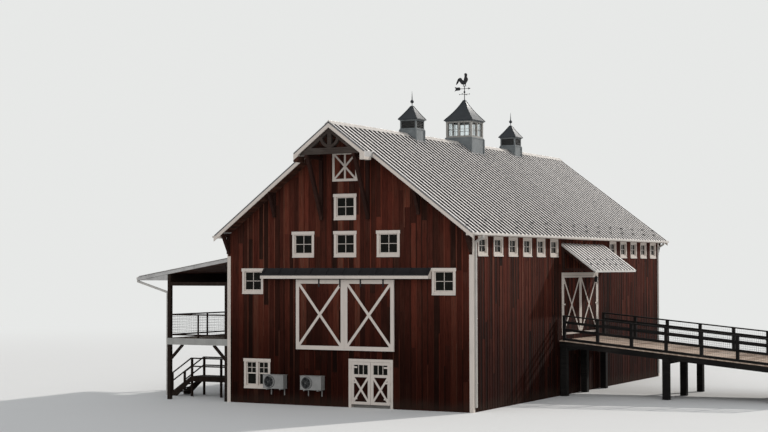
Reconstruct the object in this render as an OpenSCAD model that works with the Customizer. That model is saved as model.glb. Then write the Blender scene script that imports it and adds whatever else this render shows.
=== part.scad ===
// Timber bank barn: boarded walls, a hooded gable, three ridge cupolas, a side porch and an entrance bridge.
// The front gable faces -Y and the entrance side faces +X. The origin is at ground level in the middle.

/* [Barn body] */
// Width over the outer faces of the side walls
barn_w = 12200; // [11900:100:12500]
// Length over the outer faces of the gable walls
barn_l = 24800; // [24500:100:25400]
// Thickness of the framed and boarded walls
wall_t = 200; // [160:10:240]
// Height of the side walls at their outer face
wall_h = 7515; // [7480:5:7600]
// Height of the main floor's top
main_floor_z = 2830; // [2800:10:2860]
// Thickness of the main floor
floor_t = 300; // [240:10:340]
// Thickness of the ground storey's slab
slab_t = 120; // [80:10:130]

/* [Main roof] */
// Pitch of the main roof in degrees
roof_pitch = 36.87; // [36:0.01:37.5]
// Thickness of the roof, square to its slope
roof_t = 200; // [170:10:220]
// How far the roof passes the side walls
eave_out = 300; // [260:10:360]
// Height of the roof's edge at the eaves
eave_edge_h = 140; // [120:5:170]
// How far the roof passes the gable walls
rake_out = 650; // [550:10:750]
// How far the hood over the front gable passes the wall
hood_out = 1450; // [1300:10:1600]
// Half the width of the hood
hood_half_w = 1750; // [1700:10:1850]
// Width of the boxed ends of the hood
return_w = 220; // [180:10:240]
// Length of the boxed ends of the hood
return_l = 580; // [450:10:650]
// How far the boxed ends reach below the hood
return_drop = 120; // [90:10:140]
// Thickness of the white boards along roof edges
fascia_t = 35; // [25:5:45]
// Depth of the white boards along the rakes
rake_board_d = 210; // [170:10:210]
// Height of the metal's edge left free above the white boards
metal_edge = 40; // [25:5:50]
// Half the width of the metal ridge cap
ridge_cap_half_w = 160; // [120:10:200]
// Thickness of the ridge cap
cap_t = 18; // [12:1:24]

/* [Eaves and pipes] */
// Width of an eave gutter
gutter_w = 90; // [80:5:110]
// Height of an eave gutter
gutter_h = 90; // [80:5:100]
// How far a gutter lies below the roof's edge
gutter_drop = 25; // [15:5:35]
// Thickness of the gutter's metal
gutter_wall = 6; // [4:1:10]
// Side of a square downspout
spout_w = 90; // [70:5:100]
// Height of an elbow under a gutter
elbow_h = 100; // [80:10:140]
// Height of the open foot of a downspout
spout_foot = 200; // [120:10:300]
// Width of the white corner boards
corner_board_w = 150; // [120:5:170]
// Thickness of the white corner boards
corner_board_t = 25; // [20:1:35]

/* [Windows] */
// Outer width of a gable window's white trim
window_w = 1110; // [1040:10:1140]
// Outer height of a gable window's white trim
window_h = 1120; // [1040:10:1160]
// Width of the trim round the glass
trim_w = 110; // [90:5:125]
// How much of the trim's width lies on the wall
trim_cover = 60; // [40:5:70]
// How far the trim stands out of the wall
trim_out = 30; // [20:1:35]
// How far the head board passes the trim at each side
head_ear = 30; // [20:2:40]
// Height of the sill board
sill_h = 150; // [120:5:170]
// How far the sill's edge stands out of the trim
sill_out = 22; // [15:1:30]
// Sideways distance between the windows in the row of three
row_pitch = 2125; // [2000:5:2250]
// Height of the row of three above the main floor
row_up = 3685; // [3650:5:3730]
// Drop from the boards' peak to the bottom of the window above the row
upper_window_drop = 3950; // [3850:10:4030]
// Sideways place of the windows beside the sliding doors
mid_window_x = 4765; // [4750:5:4850]
// Height of the windows beside the sliding doors above the main floor
mid_window_up = 2060; // [1990:5:2130]
// Distance between the windows of a side wall
side_window_pitch = 1628; // [1610:1:1640]
// Width of a side window's trim
side_window_w = 1005; // [940:5:1040]
// Height of a side window's trim
side_window_h = 865; // [820:5:870]
// Least distance between a side wall's end and its first window place
side_window_margin = 150; // [100:10:180]
// Gap between the side windows and the soffit over them
side_window_gap = 5; // [3:1:10]
// Width of the twin window of the ground storey
twin_window_w = 1380; // [1300:10:1440]
// Height of the twin window of the ground storey
twin_window_h = 1310; // [1240:10:1340]
// Sideways distance of the twin window from the middle
twin_window_x = 4530; // [4440:5:4620]
// Height of the bottom of the twin window
twin_window_z = 660; // [600:10:700]
// Thickness of the sheets of glass
glass_t = 12; // [8:1:16]

/* [Sliding and loft doors] */
// Width of one leaf of the big sliding doors
slider_w = 2439; // [2380:1:2500]
// Height of a leaf of the big sliding doors
slider_h = 3076; // [3020:1:3090]
// How far the sliding doors reach below the main floor's top
slider_drop = 360; // [350:5:370]
// How far a sliding door laps over the wall beside its doorway
slider_lap = 130; // [100:5:160]
// Gap between the wall and the sliding doors
slider_gap = 60; // [50:5:75]
// Thickness of a boarded door panel
panel_t = 45; // [35:1:50]
// Width of the stiles of a sliding door
slider_stile = 165; // [140:5:190]
// Height of the rails of a sliding door
slider_rail = 180; // [150:5:210]
// Width of the braces of a sliding door
slider_brace = 120; // [100:5:140]
// How far the wheels' middles stand above a sliding door
wheel_up = 105; // [100:1:110]
// Radius of a hanger's wheel
wheel_r = 55; // [50:1:58]
// Thickness of a hanger's wheel
wheel_t = 24; // [18:1:30]
// Width of a hanger's strap
strap_w = 70; // [60:5:80]
// Sideways places of the hangers
hanger_xs = [-1260, -200, 820, 1930];
// Length of a hanger's strap on the door
strap_l = 320; // [240:10:400]
// Height of the track's rail
rail_d = 32; // [28:1:34]
// Thickness of the track's rail
rail_t = 12; // [10:1:14]
// Half the length of the track's cover
track_half_l = 4180; // [4100:10:4185]
// How far the roof of the track's cover stands out of the wall
cover_out = 300; // [280:5:330]
// How far the edge of the track's roof is above the sliding doors
cover_up = 209; // [194:1:234]
// Rise of the track's roof from its edge to the wall
cover_rise = 286; // [250:2:320]
// Thickness of the roof of the track's cover
cover_t = 30; // [20:2:34]
// Height of the white board in front of the track
cover_board = 170; // [150:5:180]
// Width of the loft door
loft_w = 1260; // [1200:10:1320]
// Height of the loft door
loft_h = 1280; // [1220:10:1300]
// Drop from the boards' peak to the bottom of the loft door
loft_drop = 2250; // [2230:10:2290]
// Width of the loft door's frame
loft_stile = 110; // [90:5:130]
// Width of the loft door's braces
brace_w = 85; // [70:5:100]

/* [Hinged doors] */
// Width of the ground storey's doorway
ground_door_w = 1970; // [1920:10:2030]
// Height of the ground storey's doorway
ground_door_h = 2010; // [1980:10:2050]
// Sideways place of the ground storey's doorway
ground_door_x = 1255; // [1200:5:1300]
// Width of the entrance doorway on the long side
entrance_w = 4740; // [4680:10:4800]
// Height of the entrance doorway
entrance_h = 2860; // [2800:10:2870]
// Place of the entrance doorway along the wall
entrance_y = 150; // [120:10:180]
// Width of the casing round the ground storey's doorway
casing_w = 100; // [80:5:110]
// Width of the casing round the entrance doorway
entrance_casing_w = 120; // [100:5:140]
// Thickness of a casing
casing_t = 30; // [25:1:35]
// Thickness of the lining inside a doorway
lining_t = 25; // [20:1:30]
// Thickness of a hinged leaf's boards
leaf_t = 40; // [35:1:45]
// Thickness of the white frames on the doors
frame_out = 22; // [18:1:26]
// Gap between a leaf and its frame
leaf_gap = 8; // [7:1:10]
// Gap between two leaves where they meet
meet_gap = 16; // [15:1:20]
// Height of a leaf's bottom above the floor
leaf_lift = 30; // [20:5:40]
// Width of a ground leaf's stiles
ground_stile = 130; // [110:5:150]
// Height of a ground leaf's rails
ground_rail = 120; // [100:5:140]
// Share of a ground leaf's height that is boarded
ground_glass_from = 0.71; // [0.66:0.01:0.76]
// Width of an entrance leaf's stiles
entrance_stile = 140; // [120:5:160]
// Height of an entrance leaf's rails
entrance_rail = 90; // [80:5:110]
// Radius of a hinge pin
pin_r = 9; // [8:0.5:10]
// Radial clearance between a pin and its tube
pin_fit = 0.08; // [0.05:0.01:0.1]
// Thickness of a hinge tube's wall
knuckle_wall = 9; // [8:1:10]
// Height of a hinge tube
knuckle_h = 70; // [60:5:80]
// Height of the collar under a hinge tube
collar_h = 18; // [14:1:22]
// Height of a hinge pin above its tube
pin_up = 12; // [8:1:16]
// Distance between a hinge tube and the leaf's face
hinge_clear = 6; // [5.5:0.5:7]
// Width of a hinge plate on the casing
hinge_plate = 50; // [40:5:60]
// Thickness of a hinge strap
strap_t = 12; // [10:1:13]
// Length of a hinge strap along a leaf
strap_reach = 300; // [240:10:360]
// Gap between pieces that seat on each other and move
seat_gap = 0.3; // [0.2:0.1:0.5]

/* [Gable truss and braces] */
// Thickness of the truss and the hood's braces
timber_t = 150; // [130:10:180]
// Depth of the truss's top chords
truss_d = 150; // [120:10:180]
// Width of the king post
king_w = 190; // [160:10:210]
// Drop from the boards' peak to the bottom of the tie beam
tie_drop = 1140; // [1110:10:1150]
// Depth of the tie beam
tie_d = 270; // [240:10:290]
// Radius of the curved struts
strut_r = 470; // [440:10:500]
// Depth of the curved struts
strut_d = 120; // [100:5:140]
// Sideways place of the hood's knee braces
hood_brace_x = 1165; // [1100:5:1200]
// Height of the braces under the hood
hood_brace_h = 2790; // [2650:10:2850]
// How far the truss stands behind the hood's edge
truss_in = 40; // [30:5:60]
// Sideways place of the braces under the lower rakes
rake_brace_x = 3600; // [3500:10:3700]
// Height of the braces under the lower rakes
rake_brace_h = 1120; // [1050:10:1200]
// Height of the braces at the corners
corner_brace_h = 920; // [860:10:980]
// Thickness of the braces under the lower rakes
rake_brace_t = 130; // [110:10:140]

/* [Cupolas] */
// Distance between the cupolas along the ridge
cupola_pitch = 5900; // [5700:50:6100]
// Side of a small cupola's louvred body
small_cupola_w = 840; // [800:10:880]
// Side of the centre cupola's glazed body
big_cupola_w = 1420; // [1360:10:1480]
// How far the bases of the outer cupolas rise above the ridge
small_base_up = 270; // [220:10:320]
// How far the base of the middle cupola rises above the ridge
big_base_up = 260; // [220:10:340]
// Height of a small cupola's louvred body
small_body_h = 440; // [400:10:480]
// Height of the centre cupola's glazed body
big_body_h = 860; // [820:10:900]
// Height of a small cupola's roof
small_roof_h = 670; // [620:10:720]
// Height of the centre cupola's roof
big_roof_h = 1090; // [1020:10:1120]
// How far a cupola's roof passes its body
cupola_eave = 85; // [70:5:100]
// Thickness of a cupola roof's edge
cupola_edge = 35; // [25:5:45]
// How much the hips of the small roofs sag
small_roof_sag = 15; // [0:1:30]
// How much the hips of the centre roof sag
big_roof_sag = 60; // [30:5:80]
// Thickness of the walls of the centre cupola's base
cupola_wall = 110; // [90:5:130]
// Number of louvre blades on each side
louvre_count = 5; // [4:1:6]
// Thickness of a louvre blade
louvre_t = 14; // [10:1:18]
// Side of a corner post between the louvres
louvre_post = 80; // [70:5:90]
// Height of the rails above and below the louvres
louvre_rail = 35; // [25:5:45]
// Distance from the louvred face to the core behind it
louvre_core = 60; // [50:5:65]
// Half the width of a finial's foot
finial_r = 45; // [40:1:50]
// Height of a finial
finial_h = 710; // [660:10:760]
// Radius of a finial's ball
finial_ball_r = 85; // [70:5:95]

/* [Weathervane] */
// Height of the mast above the centre cupola's roof
mast_h = 540; // [500:10:580]
// Radius of the mast
mast_r = 20; // [18:1:24]
// Radius of the spindle on which the vane turns
spindle_r = 10; // [8:0.5:12]
// Height of the vane's hub on the spindle
hub_h = 150; // [130:5:170]
// Thickness of the cap on the vane's hub
hub_cap = 20; // [15:1:30]
// Length of a compass arm
arm_l = 280; // [240:10:300]
// Radius of a compass arm
arm_r = 9; // [8:1:12]
// Radius of the ball at a compass arm's end
arm_ball_r = 24; // [20:1:28]
// Length of the vane's arrow
arrow_l = 900; // [820:10:960]
// Height of the arrow's shaft
arrow_d = 24; // [20:1:30]
// Height of the rooster
rooster_h = 670; // [640:10:700]
// Thickness of the vane's plates
vane_t = 12; // [8:1:16]

/* [Side porch] */
// How far the porch's deck passes the barn's wall
porch_w = 3360; // [3250:10:3450]
// Length of one bay of the porch
porch_bay = 6200; // [6000:50:6350]
// Number of bays of the porch
porch_bays = 2; // [1:1:3]
// Side of a porch post
post_w = 170; // [150:5:190]
// Gap between the porch roof and the side windows over it
porch_roof_gap = 30; // [25:5:60]
// Pitch of the porch's roof in degrees
porch_pitch = 9.5; // [9:0.1:10]
// Thickness of the porch's roof
porch_roof_t = 160; // [140:10:180]
// How far the porch's roof passes the wall
porch_roof_w = 5050; // [4950:10:5150]
// Depth of the beam under the edge of the porch roof
porch_beam_d = 243; // [200:1:290]
// Thickness of the porch's deck with its white band
deck_t = 300; // [260:10:320]
// Thickness of the joists under the porch's deck
joist_t = 60; // [50:5:70]
// Thickness of the braces under the porch's deck
knee_t = 110; // [90:5:120]
// Length of those braces, down and sideways
knee_drop = 720; // [650:10:780]
// Height of the porch's railings
rail_h = 1110; // [1080:10:1150]
// Height of a railing's bottom bar
rail_low = 120; // [90:10:150]
// Thickness of a railing's bars
rail_bar = 60; // [45:5:70]
// Number of wires between a railing's bars
wires = 7; // [5:1:9]
// Radius of a railing's wires
wire_r = 4; // [3:0.5:5]
// Height of the low landing under the porch
landing_z = 950; // [900:10:1000]
// How far the landing stands out of the barn's wall
landing_w = 3300; // [3200:10:3400]
// Length of the landing along the wall
landing_l = 1100; // [1000:10:1300]
// Distance from the front gable to the landing
landing_in = 1800; // [1600:10:2200]
// Number of treads of the flight at the landing
stair_treads = 4; // [4:1:5]
// Depth of a tread
tread_d = 260; // [240:5:290]
// Thickness of the flight's stringers
stringer_t = 50; // [40:5:60]
// Depth of the flight's stringers
stringer_d = 240; // [200:10:280]
// Height of the stair's handrails
stair_rail_h = 880; // [850:10:950]
// Side of a stair rail's post
rail_post = 90; // [80:5:100]

/* [Entrance bridge and canopy] */
// How far the bridge lies below the main floor's top
bridge_drop = 210; // [180:10:230]
// Place of the bridge's middle along the wall
bridge_y = 100; // [50:10:150]
// Clear half width of the bridge between its railings
bridge_half_w = 2630; // [2600:10:2700]
// Length of one bay of the bridge
bridge_bay = 1650; // [1620:10:1700]
// Number of bridge bays
ramp_bays = 7; // [6:1:7]
// Slope of the ramp in degrees
ramp_angle = 5.5; // [5:0.1:6]
// Thickness of the planks
plank_t = 60; // [50:5:70]
// Depth of the bridge's beams
beam_d = 260; // [220:10:280]
// Side of a bridge post
bridge_post = 140; // [120:5:160]
// Side of a pier under the bridge
pier_w = 300; // [250:10:340]
// Height of the bridge's railings
bridge_rail_h = 1180; // [1140:10:1200]
// Thickness of the cross beams under the bridge
cross_t = 100; // [80:5:120]
// Depth of the cross beams under the bridge
cross_d = 200; // [160:10:220]
// Height of the kerb on the bridge
kerb_h = 110; // [90:5:130]
// Thickness of the rail on top of the bridge's posts
cap_rail_t = 60; // [45:5:70]
// Length of the canopy over the entrance
canopy_l = 5800; // [5750:50:5900]
// Place of the canopy along the wall
canopy_y = 600; // [580:10:620]
// How far the canopy stands out of the wall
canopy_out = 1700; // [1650:10:1740]
// How far the canopy's top lies below the soffit
canopy_drop = 200; // [170:10:220]
// Thickness of the canopy's roof
canopy_t = 80; // [70:5:90]
// Thickness of the canopy's brackets
bracket_t = 100; // [80:5:120]
// Depth of the timbers of a canopy bracket
bracket_d = 120; // [100:5:140]
// Gap between the brackets and the casing of the entrance
bracket_gap = 20; // [15:5:40]
// Least distance from a bracket's end to the canopy's edge
bracket_in = 90; // [60:10:120]
// Distance from the wall to the lantern
lantern_out = 830; // [780:10:880]
// Height of the lantern's top above the main floor
lantern_up = 2810; // [2760:10:2860]
// Radius of the lantern under the canopy
lantern_r = 95; // [80:5:105]
// Height of the lantern under the canopy
lantern_h = 300; // [260:10:320]

/* [Heat pumps] */
// Width of a heat pump
pump_w = 1050; // [1000:10:1080]
// Height of a heat pump
pump_h = 600; // [560:10:640]
// Depth of a heat pump
pump_d = 330; // [300:10:350]
// Height of the bottom of the heat pumps
pump_z = 720; // [700:10:760]
// Gap between the wall and the heat pumps
pump_back = 120; // [100:5:150]
// Radius of a heat pump's fan opening
fan_r = 230; // [200:5:245]
// Depth of a heat pump's fan opening
fan_depth = 60; // [45:5:80]
// Sideways places of the heat pumps' left edges
pump_xs = [-3950, -2030];

/* [Hidden] */
$fn = 48;

// Colours of the materials
board_red = "#6b2f24";
trim_white = "#ddd6cc";
metal_white = "#d6d3cf";
timber_brown = "#4a3a30";
dark_metal = "#2b2d33";
floor_wood = "#6d5845";
glass_blue = "#3d4a52";
pump_grey = "#c9c6bd";

// Main levels and half sizes
half_w = barn_w / 2;
half_l = barn_l / 2;
front_y = -half_l;
slope = tan(roof_pitch);
roof_v = roof_t / cos(roof_pitch);
eave_x = half_w + eave_out;
under_ridge = wall_h + slope * half_w;
ridge_z = under_ridge + roof_v;
rake_y = half_l + rake_out;
hood_y = half_l + hood_out;

function under_z(x) = under_ridge - slope * abs(x);
function top_z(x) = ridge_z - slope * abs(x);
function seat_z(x) = under_z(x) - seat_gap;

eave_top = top_z(eave_x);
soffit_z = eave_top - eave_edge_h;
soffit_x = (under_ridge - soffit_z) / slope;

// A box given by its ranges along X, Y and Z
module span(x, y, z) {
    translate([x[0], y[0], z[0]]) cube([x[1] - x[0], y[1] - y[0], z[1] - z[0]]);
}

// An outline drawn in X and Z, with its thickness along Y from y0 on
module along_y(y0, len) {
    translate([0, y0 + len, 0]) rotate([90, 0, 0]) linear_extrude(len) children();
}

// An outline drawn in Y and Z, with its thickness along X from x0 on
module along_x(x0, len) {
    translate([x0, 0, 0]) rotate([90, 0, 90]) linear_extrude(len) children();
}

// These put what is drawn in X and Y, its outer side along +Z, on a wall's outer face
module on_front() {
    translate([0, front_y, 0]) rotate([90, 0, 0]) children();
}

module on_back() {
    mirror([0, 1, 0]) on_front() children();
}

module on_right() {
    translate([half_w, 0, 0]) rotate([90, 0, 90]) children();
}

module on_left() {
    mirror([1, 0, 0]) on_right() children();
}

module both_sides() {
    children();
    mirror([1, 0, 0]) children();
}

module both_ends() {
    children();
    mirror([0, 1, 0]) children();
}

// A straight bar between two points of an outline
module bar(from, to, width) {
    way = to - from;
    translate(from) rotate(atan2(way[1], way[0])) translate([0, -width / 2]) square([norm(way), width]);
}

// Windows and doorways are given as [sideways middle, bottom, width, height] of their trim
function cut_of(w) = [w[0], w[1] + trim_cover, w[2] - 2 * trim_cover, w[3] - 2 * trim_cover];
function pane_of(w) = [w[0], w[1] + sill_h, w[2] - 2 * trim_w, w[3] - sill_h - trim_w];

module outline_of(w) {
    translate([w[0] - w[2] / 2, w[1]]) square([w[2], w[3]]);
}

row_windows = [for (i = [-1:1]) [i * row_pitch, main_floor_z + row_up, window_w, window_h]];
mid_windows = [for (i = [-1, 1]) [i * mid_window_x, main_floor_z + mid_window_up, window_w, window_h]];
upper_window = [0, under_ridge - upper_window_drop, window_w, window_h];
gable_windows = concat([upper_window], row_windows, mid_windows);
twin_window = [-twin_window_x, twin_window_z, twin_window_w, twin_window_h];
back_twins = [for (i = [-1, 1]) [i * twin_window_x, twin_window_z, twin_window_w, twin_window_h]];

slider_z = main_floor_z - slider_drop;
slider_top = slider_z + slider_h;
big_doorway = [0, main_floor_z, 2 * (slider_w - slider_lap), slider_top - slider_lap - main_floor_z];
loft_z = under_ridge - loft_drop;
loft_cut = cut_of([0, loft_z, loft_w, loft_h]);

// Windows of the long sides, none of them behind the canopy
side_window_z = soffit_z - side_window_h - side_window_gap;
side_window_places = floor((barn_l - 2 * side_window_margin) / side_window_pitch);
function place_y(i) = (i - (side_window_places - 1) / 2) * side_window_pitch;
side_places = [for (i = [0:side_window_places - 1]) [place_y(i), side_window_z, side_window_w, side_window_h]];
canopy_from = canopy_y - canopy_l / 2;
canopy_to = canopy_y + canopy_l / 2;
near_windows = [for (w = side_places) if (w[0] + side_window_w / 2 < canopy_from) w];
far_windows = [for (w = side_places) if (w[0] - side_window_w / 2 > canopy_to) w];

// Floors
inner_x = half_w - wall_t;
inner_y = half_l - wall_t;

module ground_slab() {
    color(floor_wood) span([-inner_x, inner_x], [-inner_y, inner_y], [0, slab_t]);
}

module main_floor() {
    color(floor_wood) span([-inner_x, inner_x], [-inner_y, inner_y], [main_floor_z - floor_t, main_floor_z]);
}

// Walls
doorway_left = ground_door_x - ground_door_w / 2;
doorway_right = ground_door_x + ground_door_w / 2;
base_top = ground_door_h + casing_w;

module front_wall_left() {
    color(board_red) along_y(front_y, wall_t) difference() {
        translate([-half_w, 0]) square([doorway_left + half_w, base_top]);
        outline_of(cut_of(twin_window));
    }
}

module front_wall_right() {
    color(board_red) span([doorway_right, half_w], [front_y, front_y + wall_t], [0, base_top]);
}

module gable_outline(bottom) {
    polygon([[-half_w, bottom], [half_w, bottom], [half_w, seat_z(half_w)], [0, seat_z(0)],
        [-half_w, seat_z(half_w)]]);
}

module front_gable_wall() {
    color(board_red) along_y(front_y, wall_t) difference() {
        union() {
            gable_outline(base_top);
            translate([doorway_left, ground_door_h]) square([ground_door_w, base_top - ground_door_h]);
        }
        for (w = gable_windows) outline_of(cut_of(w));
        outline_of(big_doorway);
        outline_of(loft_cut);
    }
}

module back_wall() {
    color(board_red) along_y(inner_y, wall_t) difference() {
        gable_outline(0);
        for (w = concat(gable_windows, back_twins)) outline_of(cut_of(w));
    }
}

// A side wall stands between the gable walls, and its top is cut to the roof's underside
module side_wall(from, to, bottom, windows) {
    difference() {
        along_y(from, to - from) polygon([[inner_x, bottom], [half_w, bottom], [half_w, seat_z(half_w)],
            [inner_x, seat_z(inner_x)]]);
        along_x(inner_x - wall_t, 3 * wall_t) for (w = windows) outline_of(cut_of(w));
    }
}

entrance_from = entrance_y - entrance_w / 2;
entrance_to = entrance_y + entrance_w / 2;
entrance_top = main_floor_z + entrance_h;

module left_wall() {
    color(board_red) mirror([1, 0, 0]) side_wall(-inner_y, inner_y, 0, side_places);
}

module right_wall_front() {
    color(board_red) side_wall(-inner_y, entrance_from, 0, near_windows);
}

module right_wall_back() {
    color(board_red) side_wall(entrance_to, inner_y, 0, far_windows);
}

module right_wall_centre() {
    color(board_red) {
        span([inner_x, half_w], [entrance_from, entrance_to], [0, main_floor_z]);
        side_wall(entrance_from, entrance_to, entrance_top, []);
    }
}

// Main roof, with level soffits and a hood over the front gable
module roof_half() {
    along_y(-rake_y, 2 * rake_y) polygon([[0, under_ridge], [soffit_x, soffit_z], [eave_x, soffit_z],
        [eave_x, eave_top], [0, ridge_z]]);
    along_y(-hood_y, hood_y - rake_y) polygon([[0, under_ridge], [hood_half_w, under_z(hood_half_w)],
        [hood_half_w, top_z(hood_half_w)], [0, ridge_z]]);
}

module roof_right() {
    color(metal_white) roof_half();
}

module roof_left() {
    color(metal_white) mirror([1, 0, 0]) roof_half();
}

small_base_z = ridge_z + small_base_up;
big_base_z = ridge_z + big_base_up;
small_base_w = small_cupola_w + 20;
big_base_w = big_cupola_w + 40;
cap_edge_z = top_z(ridge_cap_half_w);

module cap_piece(from, to) {
    along_y(from, to - from) polygon([[0, ridge_z], [ridge_cap_half_w, cap_edge_z],
        [ridge_cap_half_w, cap_edge_z + cap_t], [0, ridge_z + cap_t],
        [-ridge_cap_half_w, cap_edge_z + cap_t], [-ridge_cap_half_w, cap_edge_z]]);
}

module ridge_cap() {
    color(metal_white) {
        cap_piece(-hood_y, -cupola_pitch - small_base_w / 2);
        cap_piece(-cupola_pitch + small_base_w / 2, -big_base_w / 2);
        cap_piece(big_base_w / 2, cupola_pitch - small_base_w / 2);
        cap_piece(cupola_pitch + small_base_w / 2, rake_y);
    }
}

// White boards under the metal's edge on the rakes, and the boxed ends of the hood
module rake_outline(from, to) {
    polygon([[from, top_z(from) - metal_edge], [to, top_z(to) - metal_edge],
        [to, top_z(to) - metal_edge - rake_board_d], [from, top_z(from) - metal_edge - rake_board_d]]);
}

return_x = hood_half_w - return_w;
return_z = under_z(hood_half_w) - return_drop;

module rake_boards() {
    color(trim_white) both_sides() {
        along_y(-hood_y - fascia_t, fascia_t) rake_outline(0, hood_half_w);
        along_y(-hood_y - fascia_t, return_l + fascia_t) polygon([[return_x, return_z], [hood_half_w, return_z],
            [hood_half_w, under_z(hood_half_w)], [return_x, under_z(return_x)]]);
        along_y(-rake_y - fascia_t, fascia_t) rake_outline(hood_half_w, eave_x + fascia_t);
        along_y(rake_y, fascia_t) rake_outline(0, eave_x + fascia_t);
    }
}

module boxed_eaves() {
    color(trim_white) both_sides() {
        along_y(-rake_y, 2 * rake_y) polygon([[half_w, soffit_z], [soffit_x - seat_gap, soffit_z],
            [half_w, seat_z(half_w) - seat_gap]]);
        span([eave_x, eave_x + fascia_t], [-rake_y, rake_y], [soffit_z, eave_top - metal_edge]);
    }
}

corner_brace_foot = under_z(half_w) - corner_brace_h;

module corner_boards() {
    color(trim_white) both_sides() both_ends() {
        span([half_w - corner_board_w, half_w], [half_l, half_l + corner_board_t], [0, corner_brace_foot]);
        span([half_w, half_w + corner_board_t], [half_l - corner_board_w, half_l + corner_board_t], [0, soffit_z]);
    }
}

// Gutters and downspouts
gutter_x = eave_x + fascia_t;
gutter_z = eave_top - gutter_drop - gutter_h;
porch_slope = tan(porch_pitch);
porch_roof_z = side_window_z - porch_roof_gap;
porch_v = porch_roof_t / cos(porch_pitch);
porch_wall_x = -half_w - corner_board_t;
porch_edge_x = -half_w - porch_roof_w;
porch_l = porch_bays * porch_bay;
porch_back_y = front_y + porch_l;
function porch_top(x) = porch_roof_z - porch_slope * (-half_w - x);
function porch_under(x) = porch_top(x) - porch_v;
porch_beam_z = porch_under(porch_edge_x) - porch_beam_d;
porch_gutter_z = porch_top(porch_edge_x) - gutter_drop - gutter_h;

module gutter(from, to) {
    along_y(from, to - from) difference() {
        square([gutter_w, gutter_h]);
        translate([gutter_wall, gutter_wall]) square([gutter_w - 2 * gutter_wall, gutter_h]);
    }
    for (y = [from, to - gutter_wall]) span([0, gutter_w], [y, y + gutter_wall], [0, gutter_h]);
}

// A square pipe that follows points in X and Z, with mitred corners
function unit(v) = v / norm(v);
function side_of(from, to) = let (way = unit(to - from)) [-way[1], way[0]];
function mitre(points, i) = let (last = len(points) - 1, before = side_of(points[max(i - 1, 0)], points[max(i, 1)]),
    after = side_of(points[min(i, last - 1)], points[min(i + 1, last)]), middle = unit(before + after))
    middle / (middle * before);

module spout(points, y) {
    half = spout_w / 2;
    last = len(points) - 1;
    along_y(y - half, spout_w) polygon(concat([for (i = [0:last]) points[i] + half * mitre(points, i)],
        [for (i = [last:-1:0]) points[i] - half * mitre(points, i)]));
}

spout_x = half_w + spout_w / 2;
spout_y = half_l - corner_board_w - spout_w / 2 - 20;
gutter_mid_x = gutter_x + gutter_w / 2;
barn_spout = [[gutter_mid_x, gutter_z], [gutter_mid_x, gutter_z - elbow_h], [spout_x, gutter_z - 3 * elbow_h],
    [spout_x, spout_foot]];
post_x = -half_w - porch_w + post_w / 2;
porch_gutter_mid_x = porch_edge_x - gutter_w / 2;
porch_spout_x = post_x - post_w / 2 - spout_w / 2;
porch_spout = [[porch_gutter_mid_x, porch_gutter_z], [porch_gutter_mid_x, porch_gutter_z - elbow_h],
    [porch_spout_x, porch_gutter_z - 6 * elbow_h], [porch_spout_x, spout_foot]];

module gutters() {
    color(trim_white) {
        both_sides() translate([gutter_x, 0, gutter_z]) gutter(-rake_y, rake_y);
        translate([porch_edge_x - gutter_w, 0, porch_gutter_z]) gutter(front_y, porch_back_y);
    }
}

module downspouts() {
    color(trim_white) {
        spout(barn_spout, -spout_y);
        both_sides() spout(barn_spout, spout_y);
        spout(porch_spout, front_y + post_w / 2);
    }
}

// Timber truss in the hood, with curved struts beside its king post
tie_z = under_ridge - tie_drop;
truss_y = -hood_y + truss_in;
tie_top = tie_z + tie_d;
chord_ridge = under_ridge - truss_d / cos(roof_pitch);

// A quarter of a ring that curves up and out from the tie beam's middle
module strut() {
    translate([0, truss_y + timber_t, tie_top + strut_r]) rotate([90, 0, 0]) intersection() {
        difference() {
            cylinder(h = timber_t, r = strut_r);
            translate([0, 0, -1]) cylinder(h = timber_t + 2, r = strut_r - strut_d);
        }
        translate([0, -strut_r, 0]) cube([strut_r, strut_r, timber_t]);
    }
}

module gable_truss() {
    color(timber_brown) intersection() {
        union() {
            along_y(truss_y, timber_t) {
                difference() {
                    translate([-return_x, tie_z]) square([2 * return_x, under_ridge - tie_z]);
                    polygon([[-return_x, chord_ridge - slope * return_x], [0, chord_ridge],
                        [return_x, chord_ridge - slope * return_x], [return_x, tie_z - 1], [-return_x, tie_z - 1]]);
                }
                translate([-return_x, tie_z]) square([2 * return_x, tie_d]);
                translate([-king_w / 2, tie_z]) square([king_w, under_ridge - tie_z]);
            }
            both_sides() strut();
        }
        along_y(truss_y, timber_t) polygon([[-half_w, seat_z(half_w)], [0, seat_z(0)], [half_w, seat_z(half_w)]]);
    }
}

// A knee brace: the wall is at 0, it stands out towards -X, and its top is at 0
module knee_outline(out, drop, d) {
    translate([-d, -drop]) square([d, drop]);
    translate([-out, -d]) square([out, d]);
    intersection() {
        translate([-out, -drop]) square([out, drop]);
        bar([-d / 2, d - drop], [d - out, -d / 2], d);
    }
}

module rake_brace(x, drop) {
    along_x(x - rake_brace_t / 2, rake_brace_t) translate([front_y, under_z(x - rake_brace_t / 2)])
        knee_outline(rake_out, drop, rake_brace_t);
}

module knee_braces() {
    color(timber_brown) intersection() {
        both_sides() {
            along_x(hood_brace_x - timber_t / 2, timber_t) translate([front_y, tie_z])
                knee_outline(hood_out - truss_in, hood_brace_h, timber_t);
            both_ends() {
                rake_brace(rake_brace_x, rake_brace_h);
                rake_brace(half_w - rake_brace_t / 2, corner_brace_h);
            }
        }
        along_y(-hood_y, 2 * hood_y) gable_outline(0);
    }
}

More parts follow.
